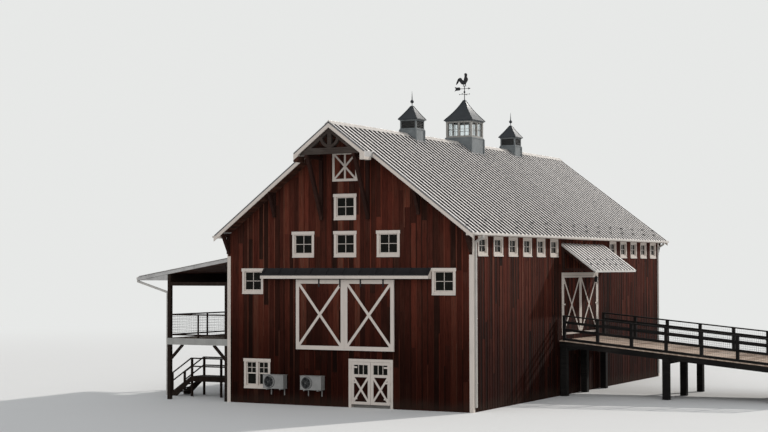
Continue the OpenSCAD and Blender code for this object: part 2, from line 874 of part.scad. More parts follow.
// Windows
module window_frame(w, ear) {
    linear_extrude(trim_out) difference() {
        outline_of(w);
        outline_of(pane_of(w));
    }
    translate([0, 0, -wall_t]) linear_extrude(wall_t) difference() {
        outline_of(cut_of(w));
        outline_of(pane_of(w));
    }
    translate([w[0] - w[2] / 2, w[1], trim_out]) cube([w[2], sill_h / 3, sill_out]);
    if (ear > 0) translate([w[0] - w[2] / 2 - ear, w[1] + w[3] - trim_w, trim_out])
        cube([w[2] + 2 * ear, trim_w + ear, ear / 2]);
}

module twin_frame(w) {
    window_frame(w, head_ear);
    translate([w[0] - trim_w / 2, w[1] + sill_h, -wall_t]) cube([trim_w, w[3] - sill_h - trim_w, wall_t + trim_out]);
}

module front_windows() {
    color(trim_white) on_front() {
        for (w = gable_windows) window_frame(w, head_ear);
        twin_frame(twin_window);
    }
}

module back_windows() {
    color(trim_white) on_back() {
        for (w = gable_windows) window_frame(w, head_ear);
        for (w = back_twins) twin_frame(w);
    }
}

module side_windows() {
    color(trim_white) {
        on_right() for (w = concat(near_windows, far_windows)) window_frame(w, 0);
        on_left() for (w = side_places) window_frame(w, 0);
    }
}

// Sheets of glass on the walls' inner faces, one for each group of windows
module sheet(first, last) {
    left = first[0] - first[2] / 2;
    right = last[0] + last[2] / 2;
    translate([left, first[1], -wall_t - glass_t]) cube([right - left, first[3], glass_t]);
}

module gable_sheets() {
    sheet(row_windows[0], row_windows[2]);
    sheet(upper_window, upper_window);
    for (w = mid_windows) sheet(w, w);
}

module window_glass() {
    color(glass_blue) {
        on_front() {
            gable_sheets();
            sheet(twin_window, twin_window);
        }
        on_back() {
            gable_sheets();
            for (w = back_twins) sheet(w, w);
        }
        on_right() {
            sheet(near_windows[0], near_windows[len(near_windows) - 1]);
            sheet(far_windows[0], far_windows[len(far_windows) - 1]);
        }
        on_left() sheet(side_places[0], side_places[len(side_places) - 1]);
    }
}

// White door frames with X braces, drawn as an outline
module x_frame(w, h, stile, rail, brace) {
    difference() {
        square([w, h]);
        translate([stile, rail]) square([w - 2 * stile, h - 2 * rail]);
    }
    intersection() {
        square([w, h]);
        union() {
            bar([stile / 2, rail / 2], [w - stile / 2, h - rail / 2], brace);
            bar([stile / 2, h - rail / 2], [w - stile / 2, rail / 2], brace);
        }
    }
}

module loft_door() {
    color(trim_white) on_front() translate([-loft_w / 2, loft_z, 0]) {
        translate([trim_cover, trim_cover, -panel_t])
            cube([loft_w - 2 * trim_cover, loft_h - 2 * trim_cover, panel_t]);
        linear_extrude(trim_out) {
            x_frame(loft_w, loft_h, loft_stile, loft_stile, brace_w);
            translate([(loft_w - brace_w) / 2, loft_stile / 2]) square([brace_w, loft_h - loft_stile]);
        }
    }
}

// Big doors that hang by wheels from a rail
panel_face = slider_gap + panel_t;
strap_face = panel_face + frame_out;
rail_face = slider_gap + panel_t / 2;
wheel_z = slider_top + wheel_up;
rail_top = wheel_z - wheel_r - seat_gap;

module hanger(x) {
    translate([x - strap_w / 2, slider_top - strap_l, strap_face])
        cube([strap_w, strap_l + wheel_up + strap_w / 2, strap_t]);
    translate([x, wheel_z, rail_face - wheel_t / 2]) cylinder(h = wheel_t, r = wheel_r);
    translate([x, wheel_z, rail_face]) cylinder(h = strap_face - rail_face, r = pin_r);
}

module slider_leaf() {
    translate([leaf_gap / 2, slider_z, slider_gap]) cube([slider_w - leaf_gap / 2, slider_h, panel_t]);
    translate([leaf_gap / 2, slider_z, panel_face]) linear_extrude(frame_out)
        x_frame(slider_w - leaf_gap / 2, slider_h, slider_stile, slider_rail, slider_brace);
}

module sliding_doors() {
    color(trim_white) on_front() {
        both_sides() slider_leaf();
        for (x = hanger_xs) hanger(x);
    }
}

module door_track() {
    brackets = 8;
    half = track_half_l - 2 * fascia_t;
    color(dark_metal) on_front() {
        translate([-half, rail_top - rail_d, rail_face - rail_t / 2]) cube([2 * half, rail_d, rail_t]);
        for (i = [0:brackets]) translate([(2 * i / brackets - 1) * (half - wheel_r), rail_top - rail_d, 0])
            translate([-rail_t, 0, 0]) cube([2 * rail_t, rail_d / 2, rail_face]);
    }
}

// An outline drawn outwards and upwards from the front wall
module front_profile(from, to) {
    translate([to, front_y, 0]) rotate([90, 0, -90]) linear_extrude(to - from) children();
}

module track_cover() {
    cover_z = slider_top + cover_up;
    cover_wall_z = cover_z + cover_rise;
    color(dark_metal) front_profile(-track_half_l, track_half_l) polygon([[0, cover_wall_z - cover_t],
        [cover_out, cover_z - cover_t], [cover_out, cover_z], [0, cover_wall_z]]);
    color(trim_white) {
        front_profile(-track_half_l, track_half_l) translate([cover_out, cover_z - cover_board])
            square([fascia_t, cover_board]);
        for (x = [-track_half_l, track_half_l - fascia_t]) front_profile(x, x + fascia_t)
            polygon([[0, cover_z - cover_board], [cover_out, cover_z - cover_board], [cover_out, cover_z - cover_t],
                [0, cover_wall_z - cover_t]]);
    }
}

// Hinged doors: pins stand on the frame, and tubes on the leaves turn on them
module hinge_pin() {
    translate([0, -collar_h, axis_z]) rotate([-90, 0, 0]) {
        cylinder(h = collar_h, r = knuckle_r);
        cylinder(h = collar_h + knuckle_h + pin_up, r = pin_r);
    }
    translate([-hinge_plate, -collar_h, casing_t]) cube([hinge_plate, collar_h, axis_z - casing_t + pin_r]);
}

module knuckle() {
    difference() {
        union() {
            translate([0, seat_gap, axis_z]) rotate([-90, 0, 0]) cylinder(h = knuckle_h, r = knuckle_r);
            translate([leaf_gap, seat_gap, leaf_face]) cube([strap_reach, knuckle_h, strap_t]);
        }
        translate([0, -1, axis_z]) rotate([-90, 0, 0]) cylinder(h = knuckle_h + 3, r = pin_r + pin_fit);
    }
}

leaf_face = casing_t;
leaf_back = leaf_face - frame_out - leaf_t;
knuckle_r = pin_r + knuckle_wall;
axis_z = leaf_face + knuckle_r + hinge_clear;
hinge_places = [0.12, 0.5, 0.86];
function hinge_heights(h) = [for (place = hinge_places) h * place];

// A frame round a doorway, with a lining in the wall; the doorway's left edge is at x = 0
module door_casing(w, bottom, top, casing) {
    linear_extrude(casing_t) difference() {
        translate([-casing, bottom]) square([w + 2 * casing, top - bottom + casing]);
        translate([lining_t, bottom - 1]) square([w - 2 * lining_t, top - bottom - lining_t + 1]);
    }
    translate([0, 0, -wall_t]) linear_extrude(wall_t) difference() {
        translate([0, bottom]) square([w, top - bottom]);
        translate([lining_t, bottom - 1]) square([w - 2 * lining_t, top - bottom - lining_t + 1]);
    }
}

// One leaf, with the hinge line at x = 0 and its bottom at y = 0
module swing_leaf(w, h, stile, rail, glass_from) {
    translate([leaf_gap, 0, leaf_back]) {
        linear_extrude(leaf_t) difference() {
            square([w, h]);
            if (glass_from < h) translate([stile, glass_from]) square([w - 2 * stile, h - rail - glass_from]);
        }
        if (glass_from < h) translate([stile, glass_from, leaf_t / 2 - glass_t / 2])
            cube([w - 2 * stile, h - rail - glass_from, glass_t]);
        translate([0, 0, leaf_t]) linear_extrude(frame_out) {
            x_frame(w, min(glass_from, h), stile, rail, stile * 0.7);
            difference() {
                square([w, h]);
                translate([stile, rail]) square([w - 2 * stile, h - 2 * rail]);
            }
        }
    }
    for (y = hinge_heights(h)) translate([0, y, 0]) knuckle();
}

function leaf_w(opening) = opening / 2 - lining_t - leaf_gap - meet_gap / 2;
ground_leaf_z = slab_t + leaf_lift;
ground_leaf_h = ground_door_h - lining_t - leaf_gap - ground_leaf_z;
entrance_leaf_z = main_floor_z + leaf_lift;
entrance_leaf_h = entrance_top - lining_t - leaf_gap - entrance_leaf_z;

module pins(w, z, h) {
    for (y = hinge_heights(h)) {
        translate([lining_t, z + y, 0]) hinge_pin();
        translate([w - lining_t, z + y, 0]) mirror([1, 0, 0]) hinge_pin();
    }
}

module ground_door_frame() {
    color(trim_white) on_front() translate([doorway_left, 0, 0]) {
        door_casing(ground_door_w, 0, ground_door_h, casing_w);
        pins(ground_door_w, ground_leaf_z, ground_leaf_h);
    }
}

module ground_leaf() {
    swing_leaf(leaf_w(ground_door_w), ground_leaf_h, ground_stile, ground_rail, ground_leaf_h * ground_glass_from);
}

module ground_door_left() {
    color(trim_white) on_front() translate([doorway_left + lining_t, ground_leaf_z, 0]) ground_leaf();
}

module ground_door_right() {
    color(trim_white) on_front() translate([doorway_right - lining_t, ground_leaf_z, 0]) mirror([1, 0, 0])
        ground_leaf();
}

module entrance_frame() {
    color(trim_white) on_right() translate([entrance_from, 0, 0]) {
        door_casing(entrance_w, main_floor_z, entrance_top, entrance_casing_w);
        pins(entrance_w, entrance_leaf_z, entrance_leaf_h);
    }
}

module entrance_leaf() {
    swing_leaf(leaf_w(entrance_w), entrance_leaf_h, entrance_stile, entrance_rail, entrance_leaf_h + 1);
}

module entrance_door_left() {
    color(board_red) on_right() translate([entrance_from + lining_t, entrance_leaf_z, 0]) entrance_leaf();
}

module entrance_door_right() {
    color(board_red) on_right() translate([entrance_to - lining_t, entrance_leaf_z, 0]) mirror([1, 0, 0])
        entrance_leaf();
}

// Canopy over the entrance, on three brackets
canopy_z = soffit_z - canopy_drop;
canopy_v = canopy_t / cos(roof_pitch);
function canopy_under(x) = canopy_z - canopy_v - slope * (x - half_w);
bracket_out = min(canopy_out - bracket_in,
    (canopy_under(half_w) - entrance_top - entrance_casing_w - bracket_gap) / slope);
bracket_z = canopy_under(half_w) - slope * bracket_out;

module canopy_bracket(y) {
    d = bracket_d;
    v = d / cos(roof_pitch);
    along_y(y, bracket_t) difference() {
        polygon([[half_w, bracket_z], [half_w + bracket_out, bracket_z], [half_w, canopy_under(half_w)]]);
        polygon([[half_w + d, bracket_z + d], [half_w + bracket_out - (v + d) / slope, bracket_z + d],
            [half_w + d, canopy_under(half_w + d) - v]]);
    }
}

module entrance_canopy() {
    canopy_edge_x = half_w + canopy_out;
    color(metal_white) along_y(canopy_from, canopy_l) polygon([[half_w, canopy_under(half_w)],
        [canopy_edge_x, canopy_under(canopy_edge_x)], [canopy_edge_x, canopy_under(canopy_edge_x) + canopy_v],
        [half_w, canopy_z]]);
    color(timber_brown) for (y = [canopy_from, entrance_y - bracket_t / 2, canopy_to - bracket_t]) canopy_bracket(y);
}

lantern_x = half_w + lantern_out;
lantern_top = main_floor_z + lantern_up;

module entrance_lantern() {
    color(dark_metal) translate([lantern_x, entrance_y, 0]) rotate_extrude() polygon([[0, lantern_top - lantern_h],
        [lantern_r * 0.6, lantern_top - lantern_h], [lantern_r * 0.75, lantern_top - lantern_h + 20],
        [lantern_r * 0.75, lantern_top - 90], [lantern_r, lantern_top - 80], [lantern_r * 0.3, lantern_top],
        [8, lantern_top + 10], [8, bracket_z], [0, bracket_z]]);
}

// Cupolas on the ridge
module at_small_cupolas() {
    for (y = [-cupola_pitch, cupola_pitch]) translate([0, y, 0]) children();
}

module cupola_base(w, top) {
    along_y(-w / 2, w) polygon([[-w / 2, top_z(w / 2)], [0, ridge_z], [w / 2, top_z(w / 2)], [w / 2, top],
        [-w / 2, top]]);
}

module cupola_bases() {
    hollow = big_base_w - 2 * cupola_wall;
    color(trim_white) {
        at_small_cupolas() cupola_base(small_base_w, small_base_z);
        difference() {
            cupola_base(big_base_w, big_base_z);
            translate([-hollow / 2, -hollow / 2, top_z(big_base_w)]) cube([hollow, hollow, ridge_z]);
        }
    }
}

module centred_box(w, from, to) {
    translate([-w / 2, -w / 2, from]) cube([w, w, to - from]);
}

// Blades between corner posts, round a dark core
module louvre_side(w) {
    step = (small_body_h - 2 * louvre_rail) / louvre_count;
    for (i = [0:louvre_count - 1]) along_x(-w / 2 + louvre_post, w - 2 * louvre_post)
        translate([-w / 2, small_base_z + louvre_rail + (i + 0.25) * step]) rotate(35) square([louvre_post, louvre_t]);
}

module louvred_body() {
    w = small_cupola_w;
    top = small_base_z + small_body_h;
    centred_box(w - 2 * louvre_core, small_base_z, top);
    for (x = [-1, 1], y = [-1, 1]) translate([x * (w - louvre_post) / 2, y * (w - louvre_post) / 2, 0])
        centred_box(louvre_post, small_base_z, top);
    centred_box(w, small_base_z, small_base_z + louvre_rail);
    centred_box(w, top - louvre_rail, top);
    for (a = [0:90:270]) rotate(a) louvre_side(w);
}

module cupola_louvres() {
    color(trim_white) at_small_cupolas() louvred_body();
}

lantern_post = 110;
lantern_rail_h = 100;
pane_count = 2;
pane_bar = 100;
big_body_top = big_base_z + big_body_h;

module cupola_lantern() {
    w = big_cupola_w;
    clear = w - 2 * lantern_post;
    pane = (clear - (pane_count - 1) * pane_bar) / pane_count;
    color(trim_white) difference() {
        centred_box(w, big_base_z, big_body_top);
        centred_box(clear, big_base_z - 1, big_body_top + 1);
        for (a = [0, 90]) rotate(a) for (i = [0:pane_count - 1])
            translate([-clear / 2 + i * (pane + pane_bar), -w, big_base_z + lantern_rail_h])
                cube([pane, 2 * w, big_body_h - 2 * lantern_rail_h]);
    }
}

module cupola_glass() {
    w = big_cupola_w - 2 * lantern_post;
    color(glass_blue) difference() {
        centred_box(w, big_base_z, big_body_top);
        centred_box(w - 2 * glass_t, big_base_z - 1, big_body_top + 1);
    }
}

// A square roof whose hips sag, as stacked rings up to a small flat top
roof_steps = 8;
function ring_half(half, top, sag, t) = top + (half - top) * (1 - t) - sag * sin(180 * t);

module sagging_roof(half, z, h, sag) {
    rings = [for (i = [0:roof_steps]) let (t = i / roof_steps, r = ring_half(half, finial_r, sag, t))
        [[-r, -r, z + t * h], [r, -r, z + t * h], [r, r, z + t * h], [-r, r, z + t * h]]];
    points = [for (ring = rings, p = ring) p];
    sides = [for (i = [0:roof_steps - 1], k = [0:3]) let (n = (k + 1) % 4)
        [4 * i + k, 4 * i + 4 + k, 4 * i + 4 + n, 4 * i + n]];
    top = 4 * roof_steps;
    polyhedron(points, concat([[0, 1, 2, 3]], sides, [[top + 3, top + 2, top + 1, top]]));
}

module cupola_roof(w, z, h, sag) {
    half = w / 2 + cupola_eave;
    centred_box(2 * half, z, z + cupola_edge);
    sagging_roof(half - 10, z + cupola_edge, h - cupola_edge, sag);
}

// A turned finial: foot, neck, ball and spire
module finial(z) {
    translate([0, 0, z]) rotate_extrude() union() {
        square([finial_r, 12]);
        square([finial_r * 0.4, finial_h * 0.4]);
        translate([0, finial_h * 0.3]) intersection() {
            circle(r = finial_ball_r);
            translate([0, -finial_ball_r]) square([finial_ball_r, 2 * finial_ball_r]);
        }
        polygon([[0, finial_h * 0.3], [finial_r * 0.6, finial_h * 0.4], [4, finial_h], [0, finial_h]]);
    }
}

small_body_top = small_base_z + small_body_h;
big_roof_top = big_body_top + big_roof_h;

module cupola_roofs() {
    color(dark_metal) {
        at_small_cupolas() {
            cupola_roof(small_cupola_w, small_body_top, small_roof_h, small_roof_sag);
            finial(small_body_top + small_roof_h);
        }
        cupola_roof(big_cupola_w, big_body_top, big_roof_h, big_roof_sag);
    }
}

// Mast with four compass arms and a spindle; the vane turns on it
collar_z = big_roof_top + mast_h;
arms_z = big_roof_top + mast_h * 0.57;
mast_ball_r = 2.5 * mast_r;

module vane_mast() {
    color(dark_metal) {
        translate([0, 0, big_roof_top]) rotate_extrude() union() {
            square([finial_r, 12]);
            square([mast_r, mast_h]);
            translate([0, mast_h * 0.78]) intersection() {
                circle(r = mast_ball_r);
                translate([0, -mast_ball_r]) square([mast_ball_r, 2 * mast_ball_r]);
            }
            square([spindle_r, mast_h + hub_h]);
        }
        for (a = [0:90:270]) translate([0, 0, arms_z]) rotate([90, 0, a]) {
            cylinder(h = arm_l, r = arm_r);
            translate([0, 0, arm_l]) sphere(r = arm_ball_r, $fn = 24);
        }
    }
}

// Rooster facing +X with its feet at 0: a smooth curve through these points
rooster = [[10, 95], [18, 92], [19, 75], [26, 64], [30, 52], [25, 38], [16, 25], [9, 11], [0, 14], [-13, 13], [-27, 20],
    [-37, 33], [-46, 39], [-54, 26], [-70, 15], [-66, 33], [-59, 49], [-52, 60], [-38, 67], [-25, 63], [-17, 52],
    [-9, 45], [-4, 58], [0, 72], [1, 90]];
function between(p, i, t) = let (n = len(p), a = p[(i + n - 1) % n], b = p[i], c = p[(i + 1) % n], d = p[(i + 2) % n])
    b + (t * (c - a) + t * t * (2 * a - 5 * b + 4 * c - d) + t * t * t * (3 * b - a - 3 * c + d)) / 2;

module rooster_outline() {
    scale(rooster_h / 100) {
        polygon([for (i = [0:len(rooster) - 1], t = [0:0.25:0.75]) between(rooster, i, t)]);
        polygon([[16, 92], [26, 87], [17, 82]]);
        for (p = [[3, 93], [10, 96], [17, 92], [19, 79]]) translate(p) circle(r = 5);
        for (x = [-9, 7]) translate([x, 0]) square([4, 18]);
        translate([-13, 0]) square([28, 5]);
    }
}

module weathervane() {
    hub_z = collar_z + seat_gap;
    arrow_z = hub_z + hub_h * 0.35;
    color(dark_metal) {
        translate([0, 0, hub_z]) difference() {
            cylinder(h = hub_h + hub_cap, r = mast_r);
            translate([0, 0, -1]) cylinder(h = hub_h + 1 + seat_gap, r = spindle_r + pin_fit);
        }
        difference() {
            along_y(-vane_t / 2, vane_t) translate([-0.62 * arrow_l, arrow_z]) {
                translate([60, -arrow_d / 2]) square([arrow_l - 160, arrow_d]);
                scale(arrow_l / 100) {
                    polygon([[100, 0], [86, 6], [86, -6]]);
                    polygon([[0, -13], [12, -9], [32, -9], [39, 0], [32, 9], [12, 9], [0, 13], [8, 0]]);
                }
            }
            translate([0, 0, hub_z - 1]) cylinder(h = hub_h + 1, r = mast_r - 2);
        }
        translate([0, 0, hub_z + hub_h + hub_cap]) along_y(-vane_t / 2, vane_t) rooster_outline();
    }
}

// Side porch
deck_x = -half_w - porch_w;
wall_post_x = porch_wall_x - post_w / 2;
post_ys = [for (i = [0:porch_bays]) i == 0 ? front_y + post_w / 2
    : (i == porch_bays ? porch_back_y - post_w / 2 : front_y + i * porch_bay)];
deck_bottom = main_floor_z - deck_t;

module porch_roof() {
    color(metal_white) {
        along_y(front_y, porch_l) polygon([[porch_wall_x, porch_under(porch_wall_x)],
            [porch_wall_x, porch_top(porch_wall_x)], [porch_edge_x, porch_top(porch_edge_x)],
            [porch_edge_x, porch_under(porch_edge_x)], [deck_x, porch_under(porch_edge_x)],
            [deck_x, porch_under(deck_x)]]);
        span([porch_wall_x, -half_w], [front_y + corner_board_w, porch_back_y],
            [porch_under(porch_wall_x), porch_top(porch_wall_x)]);
    }
    color(trim_white) for (y = [front_y - fascia_t, porch_back_y]) along_y(y, fascia_t)
        polygon([[porch_wall_x, porch_under(porch_wall_x)], [porch_wall_x, porch_top(porch_wall_x) - 20],
            [porch_edge_x, porch_top(porch_edge_x) - 20], [porch_edge_x, porch_under(porch_edge_x)]]);
}

module porch_post(x, y) {
    span([x - post_w / 2, x + post_w / 2], [y - post_w / 2, y + post_w / 2], [0, deck_bottom]);
    span([x - post_w / 2, x + post_w / 2], [y - post_w / 2, y + post_w / 2], [main_floor_z, porch_beam_z]);
}

module porch_frame() {
    color(timber_brown) {
        for (y = post_ys, x = [post_x, wall_post_x]) porch_post(x, y);
        along_y(front_y, porch_l) polygon([[deck_x, porch_beam_z], [deck_x + post_w, porch_beam_z],
            [deck_x + post_w, porch_under(deck_x + post_w) - seat_gap], [deck_x, porch_under(deck_x) - seat_gap]]);
        for (y = post_ys) span([deck_x + post_w, porch_wall_x], [y - post_w / 2, y + post_w / 2],
            [porch_beam_z, porch_beam_z + post_w]);
        for (y = post_ys) knee_pair(y);
    }
}

// Braces in the plane of each pair of posts, from the posts up to the deck
module knee_pair(y) {
    along_y(y - knee_t / 2, knee_t) intersection() {
        union() {
            bar([post_x, deck_bottom - knee_drop], [post_x + knee_drop, deck_bottom], knee_t);
            bar([wall_post_x, deck_bottom - knee_drop], [wall_post_x - knee_drop, deck_bottom], knee_t);
        }
        translate([post_x + post_w / 2, 0]) square([wall_post_x - post_x - post_w, deck_bottom]);
    }
}

module porch_deck() {
    joists = 8;
    joist_d = deck_t - plank_t;
    color(trim_white) {
        span([deck_x, porch_wall_x], [front_y, porch_back_y], [main_floor_z - plank_t, main_floor_z]);
        span([porch_wall_x, -half_w], [front_y + corner_board_w, porch_back_y], [deck_bottom, main_floor_z]);
        for (y = [front_y, porch_back_y - post_w]) span([deck_x, porch_wall_x], [y, y + post_w],
            [deck_bottom, main_floor_z - plank_t]);
        for (i = [0:joists]) translate([deck_x + i * (porch_w - corner_board_t - joist_t) / joists, 0, 0])
            span([0, joist_t], [front_y + post_w, porch_back_y - post_w], [deck_bottom, main_floor_z - plank_t]);
        for (y = post_ys) span([deck_x, porch_wall_x], [y - post_w / 2, y + post_w / 2],
            [deck_bottom, main_floor_z - plank_t]);
    }
}

// A railing panel that stands on its deck, from 0 to its length
module rail_panel(len) {
    for (z = [rail_low, rail_h - rail_bar]) translate([0, -rail_bar / 2, z]) cube([len, rail_bar, rail_bar]);
    for (i = [1:wires]) translate([0, 0, rail_low + i * (rail_h - rail_low) / (wires + 1)]) rotate([0, 90, 0])
        cylinder(h = len, r = wire_r, $fn = 16);
    translate([(len - rail_bar) / 2, -rail_bar / 2, 0]) cube([rail_bar, rail_bar, rail_h - rail_bar]);
}

module porch_railings() {
    color(timber_brown) translate([0, 0, main_floor_z]) {
        for (y = [post_ys[0], post_ys[porch_bays]]) translate([post_x + post_w / 2, y, 0])
            rail_panel(wall_post_x - post_x - post_w);
        for (i = [0:porch_bays - 1]) translate([post_x, post_ys[i] + post_w / 2, 0]) rotate(90)
            rail_panel(post_ys[i + 1] - post_ys[i] - post_w);
    }
}

// Low landing under the porch, with a flight of steps at its open end
landing_x = [-half_w - landing_w, -half_w];
landing_y = [front_y + landing_in, front_y + landing_in + landing_l];

module stair_rail(y) {
    top = landing_z + stair_rail_h;
    foot_x = landing_x[0] - stair_treads * tread_d - rail_post;
    foot_z = landing_z / (stair_treads + 1) + stair_rail_h;
    for (x = [landing_x[0], (landing_x[0] + landing_x[1]) / 2]) span([x, x + rail_post], [y, y + rail_post], [0, top]);
    span([foot_x, foot_x + rail_post], [y, y + rail_post], [0, foot_z]);
    for (z = [rail_bar, stair_rail_h / 2]) {
        span(landing_x, [y, y + rail_bar], [top - z, top - z + rail_bar]);
        along_y(y, rail_bar) polygon([[foot_x, foot_z - z], [landing_x[0], top - z],
            [landing_x[0], top - z + rail_bar], [foot_x, foot_z - z + rail_bar]]);
    }
}

module porch_stair() {
    riser = landing_z / (stair_treads + 1);
    foot_x = landing_x[0] - stair_treads * tread_d;
    color(timber_brown) {
        span(landing_x, landing_y, [landing_z - plank_t, landing_z]);
        for (y = [landing_y[0], landing_y[1] - stringer_t]) {
            span(landing_x, [y, y + stringer_t], [landing_z - stringer_d, landing_z - plank_t]);
            along_y(y, stringer_t) polygon([[foot_x - plank_t, 0], [foot_x + stringer_d, 0],
                [landing_x[0], landing_z - stringer_d], [landing_x[0], landing_z], [foot_x - plank_t, riser]]);
        }
        for (i = [1:stair_treads]) span([landing_x[0] - i * tread_d, landing_x[0] - (i - 1) * tread_d + 20],
            [landing_y[0] + stringer_t, landing_y[1] - stringer_t],
            [landing_z - i * riser - plank_t / 2, landing_z - i * riser]);
        stair_rail(landing_y[0]);
        mirror([0, 1, 0]) stair_rail(-landing_y[1]);
    }
}

// Entrance bridge: a ramp from the door
first_post_x = half_w + 250;
bridge_end_x = first_post_x + ramp_bays * bridge_bay;
rail_start_x = first_post_x - bridge_post / 2;
rail_end_x = bridge_end_x - bridge_post / 2;
ramp_slope = tan(ramp_angle);
bridge_z = main_floor_z - bridge_drop;
function bridge_top(x) = bridge_z - ramp_slope * max(0, x - first_post_x);

// A band that follows the deck between two heights over it, drawn in X and Z
module bridge_band(from, low, high, to = bridge_end_x) {
    polygon([[from, bridge_z + low], [first_post_x, bridge_z + low], [to, bridge_top(to) + low],
        [to, bridge_top(to) + high], [first_post_x, bridge_z + high], [from, bridge_z + high]]);
}

bridge_sides = [bridge_y - bridge_half_w - bridge_post / 2, bridge_y + bridge_half_w + bridge_post / 2];
bridge_bottom = -plank_t - beam_d;

module bridge_deck() {
    color(floor_wood) {
        along_y(bridge_sides[0] - bridge_post / 2, bridge_sides[1] - bridge_sides[0] + bridge_post)
            bridge_band(half_w, -plank_t, 0);
    }
}

module bridge_upright(x, w, z_from, z_to) {
    polygon([[x - w / 2, z_from(x - w / 2)], [x + w / 2, z_from(x + w / 2)], [x + w / 2, z_to(x + w / 2)],
        [x - w / 2, z_to(x - w / 2)]]);
}

bridge_posts = [for (i = [0:ramp_bays]) first_post_x + i * bridge_bay - (i == ramp_bays ? bridge_post / 2 : 0)];
pier_xs = concat([for (i = [0:3:ramp_bays - 1]) bridge_posts[i]], [bridge_end_x - pier_w / 2]);

module bridge_frame() {
    color(timber_brown) {
        for (y = [bridge_sides[0], bridge_y, bridge_sides[1]]) {
            along_y(y - bridge_post / 2, bridge_post) bridge_band(half_w, bridge_bottom, -plank_t);
            along_y(y - pier_w / 2, pier_w) for (x = pier_xs) bridge_upright(x, pier_w, function(q) 0,
                function(q) bridge_top(q) - plank_t - beam_d / 2);
        }
        for (x = pier_xs) let (z = bridge_top(x) + bridge_bottom)
            span([x - cross_t / 2, x + cross_t / 2], bridge_sides, [z - cross_d, z]);
    }
}

module bridge_railing(y) {
    color(timber_brown) {
        along_y(y - bridge_post / 2, bridge_post) {
            for (x = bridge_posts) bridge_upright(x, bridge_post, function(q) bridge_top(q) + kerb_h / 2,
                function(q) bridge_top(q) + bridge_rail_h - cap_rail_t / 2);
            bridge_band(rail_start_x, bridge_rail_h - cap_rail_t, bridge_rail_h);
            bridge_band(rail_start_x, 0, kerb_h);
        }
        along_y(y - rail_bar / 2, rail_bar) for (z = [0.42, 0.72])
            bridge_band(rail_start_x, bridge_rail_h * z - rail_bar, bridge_rail_h * z + rail_bar, rail_end_x);
    }
}

module bridge_railing_front() {
    bridge_railing(bridge_sides[0]);
}

module bridge_railing_back() {
    bridge_railing(bridge_sides[1]);
}

// Heat pumps on brackets
module heat_pump(x) {
    fan_x = x + pump_w * 0.27;
    fan_z = pump_z + pump_h / 2;
    color(pump_grey) on_front() {
        difference() {
            translate([x, pump_z, pump_back]) cube([pump_w, pump_h, pump_d]);
            translate([fan_x, fan_z, pump_back + pump_d - fan_depth]) cylinder(h = fan_depth + 1, r = fan_r);
        }
        translate([fan_x, fan_z, pump_back + pump_d - fan_depth]) cylinder(h = fan_depth - 20, r = fan_r * 0.3);
        for (a = [0:120:240]) translate([fan_x, fan_z, pump_back + pump_d - fan_depth]) rotate(a)
            translate([0, -fan_r * 0.18, 0]) cube([fan_r * 0.9, fan_r * 0.36, 12]);
        for (b = [x + pump_w * 0.15, x + pump_w * 0.8]) {
            translate([b, pump_z - bracket_t / 2, 0]) cube([bracket_t / 2, bracket_t / 2, pump_back + pump_d]);
            translate([b, pump_z - 300, 0]) cube([bracket_t / 2, 300 + pump_h / 2, pump_back / 3]);
        }
    }
}

module heat_pumps() {
    for (x = pump_xs) heat_pump(x);
}

ground_slab();
main_floor();
front_wall_left();
front_wall_right();
front_gable_wall();
back_wall();
left_wall();
right_wall_front();
right_wall_back();
right_wall_centre();
roof_left();
roof_right();
ridge_cap();
rake_boards();
boxed_eaves();
corner_boards();
gutters();
downspouts();
gable_truss();
knee_braces();
front_windows();
side_windows();
back_windows();
window_glass();
loft_door();
sliding_doors();
door_track();
track_cover();
ground_door_frame();
ground_door_left();
ground_door_right();
entrance_frame();
entrance_door_left();
entrance_door_right();
entrance_canopy();
entrance_lantern();
cupola_bases();
cupola_louvres();
cupola_lantern();
cupola_glass();
cupola_roofs();
vane_mast();
weathervane();
porch_roof();
porch_frame();
porch_deck();
porch_railings();
porch_stair();
bridge_deck();
bridge_frame();
bridge_railing_front();
bridge_railing_back();
heat_pumps();
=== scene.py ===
"""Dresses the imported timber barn: boards, ribbed metal, window bars, planks and wire mesh over its frame."""
import math
import random

import bpy
from bpy.props import FloatProperty, FloatVectorProperty, IntProperty, PointerProperty
from mathutils import Matrix, Vector


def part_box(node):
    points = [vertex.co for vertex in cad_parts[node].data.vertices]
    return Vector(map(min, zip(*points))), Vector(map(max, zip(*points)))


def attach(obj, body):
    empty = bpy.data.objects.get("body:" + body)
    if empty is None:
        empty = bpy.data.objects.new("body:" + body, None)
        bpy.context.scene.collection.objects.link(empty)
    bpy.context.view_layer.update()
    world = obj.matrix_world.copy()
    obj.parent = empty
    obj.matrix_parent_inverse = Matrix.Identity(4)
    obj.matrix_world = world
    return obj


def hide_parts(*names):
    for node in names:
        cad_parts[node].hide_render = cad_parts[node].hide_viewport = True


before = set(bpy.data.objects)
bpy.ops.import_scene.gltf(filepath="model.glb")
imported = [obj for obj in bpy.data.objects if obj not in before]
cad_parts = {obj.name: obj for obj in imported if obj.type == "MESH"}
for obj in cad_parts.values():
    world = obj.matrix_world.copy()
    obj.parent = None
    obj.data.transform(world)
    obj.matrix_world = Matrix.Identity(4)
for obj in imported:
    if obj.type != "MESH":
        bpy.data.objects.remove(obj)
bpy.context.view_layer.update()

bl_info = {
    "name": "Timber barn dressing",
    "version": (1, 0, 0),
    "blender": (4, 5, 0),
    "location": "3D View > Sidebar > Barn",
    "description": "Boards, metal roofs, windows, planks and mesh for a timber barn",
    "category": "Object",
}

# Places of the frame, in metres

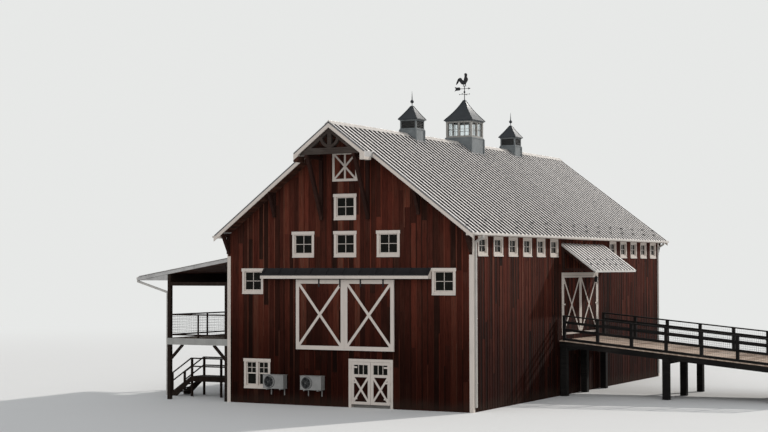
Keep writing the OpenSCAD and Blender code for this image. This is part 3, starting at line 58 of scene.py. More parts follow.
X, Y, UP = Vector((1, 0, 0)), Vector((0, 1, 0)), Vector((0, 0, 1))
WALL_LOW, WALL_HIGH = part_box("front_gable_wall")
HALF_W, PEAK_Z = WALL_HIGH.x, WALL_HIGH.z
FRONT_Y, BACK_Y = WALL_LOW.y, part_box("back_wall")[1].y
SOFFIT_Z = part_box("boxed_eaves")[0].z
FLOOR_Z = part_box("main_floor")[1].z
ROOF_LOW, ROOF_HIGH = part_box("roof_right")
HOOD_Y, RAKE_Y, EAVE_X = -ROOF_LOW.y, ROOF_HIGH.y, ROOF_HIGH.x
RIDGE_Z = PEAK_Z + 0.25
SLOPE = 0.75
RUN, FALL = math.cos(math.atan(SLOPE)), math.sin(math.atan(SLOPE))
CANOPY_LOW, CANOPY_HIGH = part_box("entrance_canopy")
PORCH_LOW, PORCH_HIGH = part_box("porch_roof")
PORCH_PITCH = math.radians(9.5)
PORCH_SLOPE = math.tan(PORCH_PITCH)
SIGNS = (-1, 1)
CORNERS = [(sx, sy) for sx in SIGNS for sy in SIGNS]


# Shader maths

class Signal:
    """An output of a shader node. Arithmetic written on it adds Math nodes to the same tree."""

    def __init__(self, shading, socket):
        self.shading, self.socket = shading, socket

    def maths(self, operation, *values):
        return self.shading.node("Math", {"operation": operation}, values)

    def __add__(self, other):
        return self.maths("ADD", self, other)

    def __sub__(self, other):
        return self.maths("SUBTRACT", self, other)

    def __rsub__(self, other):
        return self.maths("SUBTRACT", other, self)

    def __mul__(self, other):
        return self.maths("MULTIPLY", self, other)

    def __mod__(self, other):
        return self.maths("FLOORED_MODULO", self, other)

    def __abs__(self):
        return self.maths("ABSOLUTE", self)

    __radd__ = __add__
    __rmul__ = __mul__


class Shading:
    """A tree of shader nodes under construction."""

    def __init__(self, tree):
        self.tree = tree

    def node(self, kind, settings, inputs, output=0):
        made = self.tree.nodes.new("ShaderNode" + kind)
        for name, value in settings.items():
            if name == "stops":
                self.set_stops(made.color_ramp, value)
            else:
                setattr(made, name, value)
        for key, value in inputs.items() if isinstance(inputs, dict) else enumerate(inputs):
            self.join(value, made.inputs[key])
        return Signal(self, made.outputs[output])

    def set_stops(self, ramp, stops):
        while len(ramp.elements) < len(stops):
            ramp.elements.new(1.0)
        for element, (place, colour) in zip(ramp.elements, stops):
            element.position = place
            element.color = (*colour, 1.0)

    def join(self, value, socket):
        if isinstance(value, Signal):
            self.tree.links.new(value.socket, socket)
        elif socket.type == "RGBA":
            socket.default_value = (*value, 1.0)
        else:
            socket.default_value = value

    def show(self, surface, output):
        self.join(surface, self.tree.nodes[output].inputs["Surface"])


class Finish(Shading):
    """A material under construction, with its nodes and its one main shader."""

    def __init__(self, name, **constants):
        self.material = bpy.data.materials.new(name)
        self.material.use_nodes = True
        super().__init__(self.material.node_tree)
        self.shader = self.tree.nodes["Principled BSDF"]
        self.give(**constants)

    def give(self, **sockets):
        for key, value in sockets.items():
            self.join(value, self.shader.inputs[key.replace("_", " ").title().replace("Ior", "IOR")])
        return self.material

    def place(self):
        return self.node("TexCoord", {}, {}, "Object")

    def tone(self):
        return self.node("Attribute", {"attribute_name": "tone"}, {}, "Fac")

    def grain(self):
        return self.node("Attribute", {"attribute_name": "grain"}, {}, "Vector")

    def parts(self, vector):
        split = self.node("SeparateXYZ", {}, [vector])
        return [Signal(self, socket) for socket in split.socket.node.outputs]

    def chance(self, value):
        """A number from 0 to 1 for each value, with no pattern."""
        return self.node("TexWhiteNoise", {}, {"Vector": self.node("CombineXYZ", {}, [value, 0.0, 0.0])})

    def noise(self, vector, scale, detail=3.0, roughness=0.55, stretch=None):
        if stretch:
            vector = self.node("VectorMath", {"operation": "MULTIPLY"}, [vector, stretch])
        return self.node("TexNoise", {}, {"Vector": vector, "Scale": scale, "Detail": detail,
                                          "Roughness": roughness})

    def ramp(self, share, *stops):
        return self.node("ValToRGB", {"stops": stops}, [share])

    def fit(self, value, low, high, start=0.0, end=1.0):
        return self.node("MapRange", {"interpolation_type": "SMOOTHSTEP"}, [value, low, high, start, end])

    def mix(self, share, first, second, blend="MIX"):
        return self.node("Mix", {"data_type": "RGBA", "blend_type": blend},
                         {0: share, 6: first, 7: second}, 2)

    def stain(self, colour, other, value, low, high, most=1.0, blend="MIX"):
        """Brings in another colour as the value goes from low to high, up to the share most."""
        return self.mix(self.fit(value, low, high, 0.0, most), colour, other, blend)

    def bump(self, height, distance):
        return self.node("Bump", {}, {"Distance": distance, "Height": height})


def darker(colour, share):
    return tuple(value * share for value in colour)


def wood(finish, vector, along, tone, colours, worn, wear, depth=0.0012):
    """Timber from streaks that run one way, as shader inputs. colours go from dark to pale."""

    def streaked(across, down, detail, roughness):
        stretch = tuple(down if axis == along else across for axis in range(3))
        return finish.noise(vector, 1.0, detail, roughness, stretch)

    streaks = streaked(14.0, 0.55, 4.0, 0.6)
    fine = streaked(70.0, 1.6, 3.0, 0.65)
    patches = finish.noise(vector, 0.55, 3.0, 0.6)
    stops = [(i / (len(colours) - 1), tuple(colour)) for i, colour in enumerate(colours)]
    colour = finish.ramp(tone * 0.72 + streaks * 0.34 - 0.06, *stops)
    colour = finish.stain(colour, worn, patches + streaks * 0.5, 0.72, 0.98, wear)
    colour = finish.stain(colour, darker(colours[0], 0.35), fine, 0.5, 0.36, 0.55)
    return {"base_color": colour, "roughness": finish.fit(fine, 0.2, 0.8, 0.92, 0.68),
            "normal": finish.bump(fine * 0.6 + streaks * 0.4, depth)}


def red_boards(colours):
    """Upright boards, each with its own tone of red, brown or grey, darkened near the ground by painted shade.
    """
    finish = Finish("red_boards", specular_ior_level=0.03)
    tone, place = finish.tone(), finish.place()
    height = finish.parts(place)[2]
    palette = (colours.board_dark, colours.board_brown, colours.board_red, colours.board_bright,
               colours.board_grey)
    boards = wood(finish, finish.grain(), 1, tone, palette, (0.075, 0.033, 0.023), 0.3)
    colour = finish.mix(finish.chance(tone * 97.0) * 0.5, boards["base_color"], (0.76, 1.1, 1.1), "MULTIPLY")
    # Painted shade: the boards darken in blotches from 8.4 m downwards, and again below 5 m.
    shade = height + finish.noise(place, 0.5) * 3.0
    colour = finish.stain(colour, (0.28, 0.24, 0.22), shade, 8.4, 2.6, 0.8, "MULTIPLY")
    colour = finish.stain(colour, (0.45, 0.36, 0.32), height, 5.0, 1.0, 0.5, "MULTIPLY")
    splash = height + finish.noise(place, 1.4) * 0.5
    boards["base_color"] = finish.stain(colour, (0.030, 0.020, 0.015), splash, 0.85, 0.35, 0.5)
    return finish.give(**boards)


def wall_backing():
    """The framed wall behind the boards, seen in the gaps and from the rooms."""
    finish = Finish("wall_backing", specular_ior_level=0.03)
    vector = finish.place()
    x, y, _ = finish.parts(vector)
    board = (x + y) * 5.0
    boards = wood(finish, vector, 2, finish.chance(board - board % 1.0),
                  [(0.020, 0.010, 0.008), (0.040, 0.016, 0.012), (0.062, 0.024, 0.018)],
                  (0.05, 0.034, 0.027), 0.3)
    boards["base_color"] = finish.stain(boards["base_color"], (0.006, 0.004, 0.004),
                                        abs(board % 1.0 - 0.5), 0.475, 0.495)
    return finish.give(**boards)


def painted_trim(colours):
    """Off-white paint on sawn wood, with a faint grain, grime in streaks and thin wear."""
    finish = Finish("white_trim", specular_ior_level=0.3)
    vector = finish.place()
    streaks = finish.noise(vector, 1.0, 4.0, 0.6, (6.0, 6.0, 0.9))
    grit = finish.noise(vector, 38.0, 2.0)
    clouds = finish.noise(vector, 1.3, 3.0)
    flaked = finish.fit(grit + streaks * 0.35, 0.86, 0.98)
    paint = tuple(colours.trim)
    colour = finish.stain(paint, darker(paint, 0.66), streaks, 0.5, 0.8, 0.38)
    colour = finish.stain(colour, darker(paint, 0.78), clouds, 0.35, 0.75, 0.2)
    colour = finish.mix(flaked * 0.3, colour, (0.30, 0.25, 0.21))
    return finish.give(base_color=colour, roughness=finish.fit(streaks, 0.3, 0.8, 0.5, 0.72),
                       normal=finish.bump(streaks * 0.6 + grit * 0.25 - flaked * 0.4, 0.0012))


def ribbed_sheet(colours):
    """Pale metal roofing, its sheets a shade apart, with painted shadow and grime beside the seams, darkest on
    each seam's side towards the front.
    """
    finish = Finish("ribbed_metal", metallic=0.03, specular_ior_level=0.04)
    vector = finish.grain()
    washed = finish.noise(vector, 1.0, 4.0, 0.62, (9.0, 0.35, 1.0))
    spots = finish.noise(finish.place(), 5.5, 4.0, 0.65)
    shade_and_dirt = finish.parts(vector)[2]
    sheet = tuple(colours.roof)
    colour = finish.stain(sheet, darker(sheet, 0.8), finish.tone(), 0.0, 1.0, 0.2)
    colour = finish.stain(colour, (0.42, 0.39, 0.36), washed, 0.48, 0.78, 0.3)
    colour = finish.stain(colour, (0.35, 0.31, 0.27), spots, 0.62, 0.74, 0.2)
    # Painted shadow: near-black beside the seams, where their shadows fall, mixed with grime; its share comes
    # from the sheets' points.
    colour = finish.stain(colour, (0.024, 0.023, 0.024), shade_and_dirt + (washed - 0.5) * 0.3, 0.1, 0.85, 0.96)
    return finish.give(base_color=colour, roughness=finish.fit(washed, 0.3, 0.8, 0.42, 0.62),
                       normal=finish.bump(spots, 0.0006))


def plain_sheet(name, base, stain, metallic, roughness):
    """Painted or bare metal with a cloudy patina, fine scratches and stains that run down."""
    finish = Finish(name, metallic=metallic)
    vector = finish.place()
    clouds = finish.noise(vector, 2.2, 4.0, 0.6)
    runs = finish.noise(vector, 1.0, 3.0, 0.6, (11.0, 11.0, 0.8))
    grit = finish.noise(vector, 90.0, 2.0)
    colour = finish.stain(base, darker(base, 0.7), clouds, 0.35, 0.7, 0.55)
    colour = finish.stain(colour, stain, runs, 0.55, 0.8, 0.5)
    rough = finish.fit(clouds + grit * 0.3, 0.4, 0.9, roughness, roughness + 0.22)
    return finish.give(base_color=colour, roughness=rough, normal=finish.bump(grit * 0.4 + clouds, 0.0006))


def timber(name, colours, worn, along=None):
    """Heavy timber. along is the axis of a frame part's grain, or None for a piece with its own grain."""
    finish = Finish(name, specular_ior_level=0.06)
    vector, tone = finish.grain(), finish.tone()
    if along is not None:
        vector = finish.place()
        tone = finish.noise(vector, 0.9, 2.0)
    return finish.give(**wood(finish, vector, 1 if along is None else along, tone, colours, worn, 0.4, 0.002))


def poured_floor():
    """A ground slab with clouded cement and fine pits."""
    finish = Finish("concrete")
    vector = finish.place()
    clouds = finish.noise(vector, 0.9, 5.0, 0.6)
    pits = finish.noise(vector, 45.0, 2.0)
    colour = finish.ramp(clouds, (0.25, (0.19, 0.18, 0.165)), (0.75, (0.36, 0.34, 0.315)))
    colour = finish.stain(colour, (0.11, 0.10, 0.09), pits, 0.62, 0.7, 0.6)
    return finish.give(base_color=colour, roughness=finish.fit(clouds, 0.2, 0.8, 0.9, 0.7),
                       normal=finish.bump(clouds + pits * 0.3, 0.003))


def pane_glass(name, tint, clearness, ior):
    """Window glass with a breath of dust in patches."""
    finish = Finish(name, ior=ior, transmission_weight=clearness)
    dust = finish.noise(finish.place(), 3.0, 4.0, 0.6)
    dusty = tuple(min(1.0, value + 0.05) for value in tint)
    return finish.give(base_color=finish.stain(tint, dusty, dust, 0.5, 0.85, 0.35),
                       roughness=finish.fit(dust, 0.35, 0.85, 0.03, 0.14))


def stage_floor(colours):
    """A pale floor that fades into the backdrop with its distance."""
    finish = Finish("stage_floor", roughness=0.9)
    x, y, _ = finish.parts(finish.place())
    square = x * x + y * y
    away = square.maths("POWER", square, 0.5)
    light = finish.node("Emission", {}, {"Color": tuple(colours.backdrop), "Strength": 1.0})
    floor = Signal(finish, finish.shader.outputs[0])
    finish.show(finish.node("MixShader", {}, [finish.fit(away, 30.0, 95.0), floor, light]), "Material Output")
    pale = tuple(colours.floor)
    clouds = finish.noise(finish.place(), 0.4, 3.0)
    return finish.give(base_color=finish.stain(pale, darker(pale, 0.9), clouds, 0.3, 0.7, 0.06))


# Mesh building

class Piece:
    """The solids of one piece. Each face keeps its board's tone, each corner its place in the grain."""

    def __init__(self, name, seed):
        self.name = name
        self.random = random.Random(seed)
        self.points, self.faces, self.tones, self.grain = [], [], [], []

    def prism(self, first, last, tone=None, shade_and_dirt=0.0):
        """A solid between two rings of points, with one share of painted shade and dirt or one for each point
        of a ring.

        The grain runs from the first ring to the last. Where no tone is given, one is drawn."""
        tone = self.random.random() if tone is None else tone
        shade_and_dirt = shade_and_dirt if isinstance(shade_and_dirt, list) else [shade_and_dirt] * len(first)
        axis = sum(last, Vector()) - sum(first, Vector())
        turn = sum((a.cross(b) for a, b in zip(first, first[1:] + first[:1])), Vector())
        if turn.dot(axis) < 0:
            first, last, shade_and_dirt = first[::-1], last[::-1], shade_and_dirt[::-1]
        way = axis.normalized()
        count, start = len(first), len(self.points)
        shift = (self.random.uniform(0, 40), self.random.uniform(0, 40))
        self.points += first + last
        across = 0.0
        for k in range(count):
            n = (k + 1) % count
            step = (first[n] - first[k]).length
            ends = [(across, first[k], shade_and_dirt[k]), (across + step, first[n], shade_and_dirt[n]),
                    (across + step, last[n], shade_and_dirt[n]), (across, last[k], shade_and_dirt[k])]
            self.add([start + k, start + n, start + count + n, start + count + k], tone,
                     [(u + shift[0], p.dot(way) + shift[1], d) for u, p, d in ends])
            across += step
        side = way.orthogonal()
        other = way.cross(side)
        for ring, order, base in ((first, -1, start), (last, 1, start + count)):
            self.add(list(range(base, base + count))[::order], tone * 0.8,
                     [(p.dot(side) + shift[0], p.dot(other) + shift[1], 0.3) for p in ring[::order]])

    def add(self, face, tone, grain):
        self.faces.append(face)
        self.tones.append(tone)
        self.grain += grain

    def block(self, low, high, along=2, tone=0.5, chamfer=0.004):
        """A straight bar with cut corners between two places, with its grain along one axis."""
        a, b = (axis for axis in range(3) if axis != along)
        ring = bevelled((low[a], low[b]), (high[a], high[b]), chamfer)
        rings = []
        for end in (low[along], high[along]):
            rings.append([Vector() for _ in ring])
            for point, (first, second) in zip(rings[-1], ring):
                point[a], point[b], point[along] = first, second, end
        self.prism(*rings, tone)

    def rod(self, start, end, radius, sides=4, tone=0.5):
        way = (end - start).normalized()
        side = way.orthogonal().normalized()
        other = way.cross(side)
        turns = [math.tau * i / sides for i in range(sides)]
        spokes = [(side * math.cos(a) + other * math.sin(a)) * radius for a in turns]
        self.prism([start + spoke for spoke in spokes], [end + spoke for spoke in spokes], tone)

    def hoop(self, centre, normal, radius, thick, segments):
        side = normal.orthogonal().normalized()
        other = normal.cross(side)
        turns = [math.tau * i / segments for i in range(segments + 1)]
        path = [centre + (side * math.cos(a) + other * math.sin(a)) * radius for a in turns]
        for start, end in zip(path, path[1:]):
            self.rod(start, end, thick, 5)

    def build(self, finish, slot=None, body="barn", replaces=()):
        """Makes the piece. The slot argument is not used."""
        mesh = bpy.data.meshes.new(self.name)
        mesh.from_pydata(self.points, [], self.faces)
        mesh.attributes.new("tone", "FLOAT", "FACE").data.foreach_set("value", self.tones)
        mesh.attributes.new("grain", "FLOAT_VECTOR", "CORNER").data.foreach_set(
            "vector", [value for corner in self.grain for value in corner])
        mesh.shade_smooth()
        mesh.set_sharp_from_angle(angle=math.radians(40))
        mesh.materials.append(finish_named(finish))
        made = bpy.data.objects.new(self.name, mesh)
        bpy.context.scene.collection.objects.link(made)
        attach(made, body)
        if replaces:
            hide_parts(*replaces)


def bevelled(low, high, c):
    """The outline of a rectangle, its corners cut by c."""
    return [(low[0] + c, low[1]), (high[0] - c, low[1]), (high[0], low[1] + c), (high[0], high[1] - c),
            (high[0] - c, high[1]), (low[0] + c, high[1]), (low[0], high[1] - c), (low[0], low[1] + c)]


class Face:
    """A flat place that carries pieces. Its first two axes lie on it and the third stands out of it."""

    def __init__(self, origin, first, second, outward):
        self.origin, *self.axes = (Vector(part) for part in (origin, first, second, outward))

    def at(self, first, second, out=0.0):
        return self.origin + self.axes[0] * first + self.axes[1] * second + self.axes[2] * out

    def sweep(self, piece, ring, ends, way, tone=0.5, shade_and_dirt=0.0):
        """Draws an outline along the face's first axis, where way is 0, or its second.

        Each point of the ring is a place on the other axis and a height above the face."""
        rings = [[self.at(*((end, other) if way == 0 else (other, end)), out) for other, out in ring]
                 for end in ends]
        piece.prism(*rings, tone, shade_and_dirt)

    def bar(self, piece, first, second, out, way=1, tone=0.5):
        """A straight bar over three ranges on this face."""
        ends, other = (second, first) if way else (first, second)
        self.sweep(piece, [(other[0], out[0]), (other[1], out[0]), (other[1], out[1]), (other[0], out[1])],
                   ends, way, tone)


WORLD = Face((0, 0, 0), X, Y, UP)
FRONT = Face((0, FRONT_Y, 0), X, UP, -Y)
BACK = Face((0, BACK_Y, 0), X, UP, Y)
RIGHT = Face((HALF_W, 0, 0), Y, UP, X)
LEFT = Face((-HALF_W, 0, 0), Y, UP, -X)
FRONT_INNER = Face((0, FRONT_Y, 0), X, UP, Y)
RIGHT_INNER = Face((HALF_W, 0, 0), Y, UP, -X)
SLOPES = [Face((0, 0, RIDGE_Z), (side * RUN, 0, -FALL), Y, (side * FALL, 0, RUN)) for side in SIGNS]
CANOPY = Face((HALF_W, 0, CANOPY_HIGH.z), (RUN, 0, -FALL), Y, (FALL, 0, RUN))
PORCH = Face((-HALF_W, 0, PORCH_HIGH.z), (-1, 0, -PORCH_SLOPE), Y, UP)


# Wall boards

BOARD_FOOT, BACKING = 0.05, 0.004
JOINT_GAP, ARRIS = 0.0015, 0.004


def free_runs(low, high, blocked):
    """The parts of a height range that no blocked range covers."""
    runs, z = [], low
    for start, end in sorted(blocked):
        if start > z:
            runs.append((z, min(start, high)))
        z = max(z, end)
    runs.append((z, high))
    return [(a, b) for a, b in runs if b - a > 0.01]


def lay_boards(piece, face, span, bottom, top, holes=(), out=0.0, length=9.0):
    """Covers a face with upright boards, cut round its holes, and returns the places of the gaps.

    top gives the height at a place. The boards end at a gable's peak, where it is in the span."""
    sizes, rng = bpy.context.scene.barn_sizes, piece.random
    edge, gaps = span[0], []
    while edge < span[1] - 0.01:
        right = edge + rng.uniform(sizes.board_narrow, sizes.board_wide)
        if span[1] - right < sizes.board_narrow * 0.6:
            right = span[1]
        left_end, right_end = edge + sizes.board_gap / 2, right - sizes.board_gap / 2
        fronts = [out + sizes.board_depth * rng.uniform(0.72, 1.0) for _ in range(2)]
        joints, z = [], bottom + rng.uniform(0.8, length)
        while z < 13:
            joints.append(z)
            z += rng.uniform(0.7, 1.2) * length
        tones = [board_tone(rng) for _ in range(len(joints) + 1)]
        cuts = {left_end, right_end, *(u for hole in holes for u in hole[:2] if left_end < u < right_end)}
        if top is gable_top and left_end < 0 < right_end:
            cuts.add(0.0)
        cuts = sorted(cuts)
        for a, b in zip(cuts, cuts[1:]):
            blocked = [hole[2:] for hole in holes if hole[0] < (a + b) / 2 < hole[1]]
            blocked += [(z - JOINT_GAP, z + JOINT_GAP) for z in joints]
            outs = [fronts[0] + (fronts[1] - fronts[0]) * (u - left_end) / (right_end - left_end)
                    for u in (a, b)]
            cut_a, cut_b = (ARRIS if end else 0.0 for end in (a == left_end, b == right_end))
            ring = [(a, out - BACKING), (a, outs[0] - cut_a), (a + cut_a, outs[0]),
                    (b - cut_b, outs[1]), (b, outs[1] - cut_b), (b, out - BACKING)]
            ring = [p for i, p in enumerate(ring) if i == 0 or p != ring[i - 1]]
            for low, high in free_runs(bottom, max(top(a), top(b)), blocked):
                piece.prism([face.at(u, low, o) for u, o in ring],
                            [face.at(u, min(high, top(u)), o) for u, o in ring],
                            tones[sum(z < (low + high) / 2 for z in joints)])
        edge = right
        gaps.append(edge)
    return gaps[:-1]


def lay_battens(piece, face, gaps, bottom, top, holes):
    """Narrow strips over the gaps between the boards, many of them paler than the boards."""
    rng, half = piece.random, bpy.context.scene.barn_sizes.batten_width / 2
    foot, front = 0.010, 0.028
    for gap in gaps:
        a, b = gap - half, gap + half
        ring = [(a, foot), (a, front - ARRIS), (a + ARRIS, front), (b - ARRIS, front), (b, front - ARRIS),
                (b, foot)]
        joint = bottom + rng.uniform(1.5, 9.0)
        blocked = [hole[2:] for hole in holes if hole[0] < b and hole[1] > a]
        blocked.append((joint - 0.001, joint + 0.001))
        for low, high in free_runs(bottom, max(top(a), top(b)), blocked):
            tone = rng.uniform(0.82, 1.0) if rng.random() < 0.4 else rng.uniform(0.1, 0.75)
            piece.prism([face.at(u, low, o) for u, o in ring],
                        [face.at(u, max(low + 0.001, min(high, top(u))), o) for u, o in ring], tone)


def board_tone(rng):
    """Most boards lie in the reds, a few are nearly black and a few have gone grey."""
    kind = rng.random()
    return rng.uniform(*((0.0, 0.2) if kind < 0.20 else (0.22, 0.72) if kind < 0.90 else (0.8, 1.0)))


# Places of the openings: middle, bottom, width and height of the white trim

TRIM, SILL, INSET = 0.11, 0.15, 0.03
GABLE_WINDOWS = [(x, z, 1.11, 1.12) for x, z in (
    (0.0, PEAK_Z - 3.95), *((i * 2.125, FLOOR_Z + 3.685) for i in (-1, 0, 1)),
    *((i * 4.765, FLOOR_Z + 2.06) for i in SIGNS))]
TWINS = [(side * 4.53, 0.66, 1.38, 1.31) for side in SIGNS]
LEFT_WINDOWS = [((i - 7) * 1.628, SOFFIT_Z - 0.87, 1.005, 0.865) for i in range(15)]
RIGHT_WINDOWS = LEFT_WINDOWS[:6] + LEFT_WINDOWS[10:]
LOFT = (0.0, PEAK_Z - 2.25, 1.26, 1.28)

# Places of the doors and corner boards as holes in the boards: left, right, bottom and top

CASING_LOW, CASING_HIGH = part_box("ground_door_frame")
ENTRY_LOW, ENTRY_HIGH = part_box("entrance_frame")
CORNER, CORNER_TOP = 0.15, 6.6
GROUND_HOLE = (CASING_LOW.x + INSET, CASING_HIGH.x - INSET, 0.0, CASING_HIGH.z - INSET)
ENTRY_HOLE = (ENTRY_LOW.y + INSET, ENTRY_HIGH.y - INSET, ENTRY_LOW.z, ENTRY_HIGH.z - INSET)
SLIDING_HOLE = (-2.309, 2.309, FLOOR_Z, 5.416)
CORNER_HOLES = [(-HALF_W, CORNER - HALF_W, 0.0, CORNER_TOP), (HALF_W - CORNER, HALF_W, 0.0, CORNER_TOP)]


def trim_hole(window):
    x, z, w, h = window
    return (x - w / 2 + INSET, x + w / 2 - INSET, z + INSET, z + h - INSET)


def pane_of(window):
    x, z, w, h = window
    return (x - w / 2 + TRIM, x + w / 2 - TRIM, z + SILL, z + h - TRIM)


def gable_top(u):
    return PEAK_Z - SLOPE * abs(u) - 0.002


def eave_top(u):
    return SOFFIT_Z


# Sizes and colours that a user would change

def size_property(name, description, default, low, high):
    return FloatProperty(name=name, description=description, default=default, min=low, max=high,
                         subtype="DISTANCE", unit="LENGTH")


def colour_property(name, description, default):
    return FloatVectorProperty(name=name, description=description, default=default, min=0, max=1,
                               subtype="COLOR")


class BarnSizes(bpy.types.PropertyGroup):
    """Sizes of the parts that cover the frame."""

    board_narrow: size_property("Narrowest board", "Least width of a wall board", 0.24, 0.08, 0.3)
    board_wide: size_property("Widest board", "Greatest width of a wall board", 0.30, 0.1, 0.4)
    batten_width: size_property("Batten width", "Width of the strips over the gaps", 0.05, 0.03, 0.08)
    board_gap: size_property("Board gap", "Gap between two wall boards", 0.006, 0.001, 0.02)
    board_depth: size_property("Board thickness", "How far a board stands out", 0.018, 0.008, 0.028)
    seam_pitch: size_property("Seam spacing", "Distance between two seams of the roof", 0.44, 0.3, 0.6)
    seam_height: size_property("Seam height", "Height of a standing seam", 0.05, 0.02, 0.06)
    plank_width: size_property("Plank width", "Width of a deck plank", 0.14, 0.08, 0.25)
    mesh_pitch: size_property("Mesh spacing", "Distance between the wires of the rail mesh", 0.1, 0.05, 0.2)
    guard_rows: IntProperty(name="Snow guard rows", description="Rows of snow guards above each eave",
                            default=2, min=0, max=4)


class BarnColours(bpy.types.PropertyGroup):
    """Main colours of the barn and its stage."""

    board_dark: colour_property("Darkest board", "Colour of the darkest boards", (0.014, 0.006, 0.0045))
    board_brown: colour_property("Brown board", "Colour of brown boards", (0.034, 0.011, 0.0075))
    board_red: colour_property("Red board", "Colour of most boards", (0.072, 0.0165, 0.0105))
    board_bright: colour_property("Bright board", "Colour of the reddest boards", (0.128, 0.030, 0.018))
    board_grey: colour_property("Grey board", "Colour of weathered boards", (0.150, 0.078, 0.053))
    trim: colour_property("Trim", "Colour of the white trim", (0.60, 0.535, 0.48))
    roof: colour_property("Roof", "Colour of the ribbed metal", (0.92, 0.88, 0.845))
    floor: colour_property("Floor", "Colour of the stage floor", (0.74, 0.74, 0.73))
    backdrop: colour_property("Backdrop", "Colour behind the barn", (0.80, 0.81, 0.80))


# Finishes. Of a metal or paint: its colour, stain, metallic share and roughness

SHEETS = {
    "white_metal": ((0.58, 0.54, 0.50), (0.28, 0.26, 0.24), 0.1, 0.42),
    "bright_metal": ((0.60, 0.58, 0.55), (0.34, 0.32, 0.30), 0.1, 0.42),
    "roof_plate": ((0.45, 0.44, 0.43), (0.20, 0.19, 0.18), 0.3, 0.45),
    "roof_edge": ((0.10, 0.10, 0.105), (0.05, 0.05, 0.05), 0.4, 0.4),
    "dark_metal": ((0.004, 0.008, 0.013), (0.008, 0.011, 0.014), 0.2, 0.34),
    "black_iron": ((0.012, 0.012, 0.014), (0.04, 0.028, 0.022), 0.5, 0.42),
    "track_metal": ((0.010, 0.010, 0.012), (0.022, 0.020, 0.020), 0.3, 0.5),
    "louvre_paint": ((0.035, 0.036, 0.036), (0.02, 0.02, 0.02), 0.0, 0.5),
    "cupola_paint": ((0.132, 0.148, 0.154), (0.08, 0.083, 0.083), 0.0, 0.5),
    # The lantern's frame and bars: a grey far darker than the trim, as painted shade on them.
    "lantern_shade_paint": ((0.27, 0.26, 0.24), (0.14, 0.12, 0.10), 0.0, 0.5),
    "pipe_paint": ((0.46, 0.44, 0.41), (0.25, 0.23, 0.21), 0.0, 0.45),
    "porch_paint": ((0.34, 0.335, 0.315), (0.17, 0.16, 0.15), 0.0, 0.6),
    "grey_enamel": ((0.25, 0.245, 0.235), (0.15, 0.145, 0.13), 0.0, 0.42),
}

# Of a timber: its colours from dark to pale, its worn colour and the axis of a frame part's grain

TIMBERS = {
    "truss_timber": ([(0.022, 0.016, 0.013), (0.052, 0.040, 0.034), (0.11, 0.088, 0.076)],
                     (0.10, 0.085, 0.075), 0),
    "brace_timber": ([(0.012, 0.006, 0.005), (0.030, 0.013, 0.010), (0.060, 0.027, 0.020)],
                     (0.050, 0.030, 0.023), 2),
    "post_timber": ([(0.008, 0.006, 0.005), (0.020, 0.013, 0.010), (0.045, 0.029, 0.021)],
                    (0.045, 0.034, 0.027), 2),
    "bridge_timber": ([(0.005, 0.0045, 0.0045), (0.012, 0.011, 0.0105), (0.026, 0.022, 0.020)],
                      (0.034, 0.030, 0.027), 0),
    "floor_backing": ([(0.04, 0.03, 0.024), (0.08, 0.062, 0.048)], (0.09, 0.08, 0.07), 1),
    "bridge_planks": ([(0.28, 0.20, 0.15), (0.48, 0.37, 0.29), (0.62, 0.50, 0.41)], (0.50, 0.42, 0.36)),
    "soffit_boards": ([(0.030, 0.014, 0.010), (0.070, 0.028, 0.019), (0.12, 0.052, 0.034)],
                      (0.09, 0.060, 0.045)),
    "floor_planks": ([(0.055, 0.042, 0.034), (0.12, 0.094, 0.074), (0.21, 0.17, 0.135)],
                     (0.20, 0.18, 0.16)),
}

OTHERS = {
    "red_boards": lambda: red_boards(bpy.context.scene.barn_colours),
    "white_trim": lambda: painted_trim(bpy.context.scene.barn_colours),
    "ribbed_metal": lambda: ribbed_sheet(bpy.context.scene.barn_colours),
    "wall_backing": wall_backing,
    "concrete": poured_floor,
    "window_glass": lambda: pane_glass("window_glass", (0.007, 0.0072, 0.0055), 0.1, 1.14),
    "lantern_glass": lambda: pane_glass("lantern_glass", (0.90, 0.94, 0.95), 1.0, 1.45),
}

FINISHES = {}


def finish_named(name):
    """The material of that name, made on its first use."""
    if name not in FINISHES:
        if name in SHEETS:
            FINISHES[name] = plain_sheet(name, *SHEETS[name])
        elif name in TIMBERS:
            FINISHES[name] = timber(name, *TIMBERS[name])
        else:
            FINISHES[name] = OTHERS[name]()
    return FINISHES[name]


NODE_FINISHES = {
    "wall_backing": ("front_wall_left", "front_wall_right", "front_gable_wall", "back_wall", "left_wall",
                     "right_wall_front", "right_wall_back", "right_wall_centre"),
    "white_trim": ("track_cover", "rake_boards", "boxed_eaves", "corner_boards", "front_windows",
                   "side_windows", "back_windows", "loft_door", "sliding_doors", "ground_door_frame",
                   "ground_door_left", "ground_door_right", "entrance_frame", "entrance_door_left",
                   "entrance_door_right"),
    "white_metal": ("gutters",),
    "pipe_paint": ("downspouts",),
    "porch_paint": ("porch_deck",),
    "cupola_paint": ("cupola_bases",),
    "lantern_shade_paint": ("cupola_lantern",),
    "louvre_paint": ("cupola_louvres",),
    "roof_plate": ("roof_left", "roof_right", "ridge_cap", "porch_roof"),
    "black_iron": ("door_track", "entrance_lantern", "vane_mast", "weathervane"),
    "dark_metal": ("cupola_roofs",),
    "truss_timber": ("gable_truss",),
    "brace_timber": ("knee_braces", "entrance_canopy"),
    "post_timber": ("porch_frame", "porch_railings", "porch_stair"),
    "bridge_timber": ("bridge_frame", "bridge_railing_front", "bridge_railing_back"),
    "floor_backing": ("main_floor", "bridge_deck"),
    "concrete": ("ground_slab",),
    "lantern_glass": ("cupola_glass",),
    "grey_enamel": ("heat_pumps",),
}


# Operators

class BARN_OT_frame_finishes(bpy.types.Operator):
    """Gives every part of the frame its finish"""

    bl_idname = "barn.frame_finishes"
    bl_label = "Frame finishes"

    def execute(self, context):
        for name, nodes in NODE_FINISHES.items():
            for node in nodes:
                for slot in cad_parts[node].material_slots:
                    slot.material = finish_named(name)
        return {"FINISHED"}


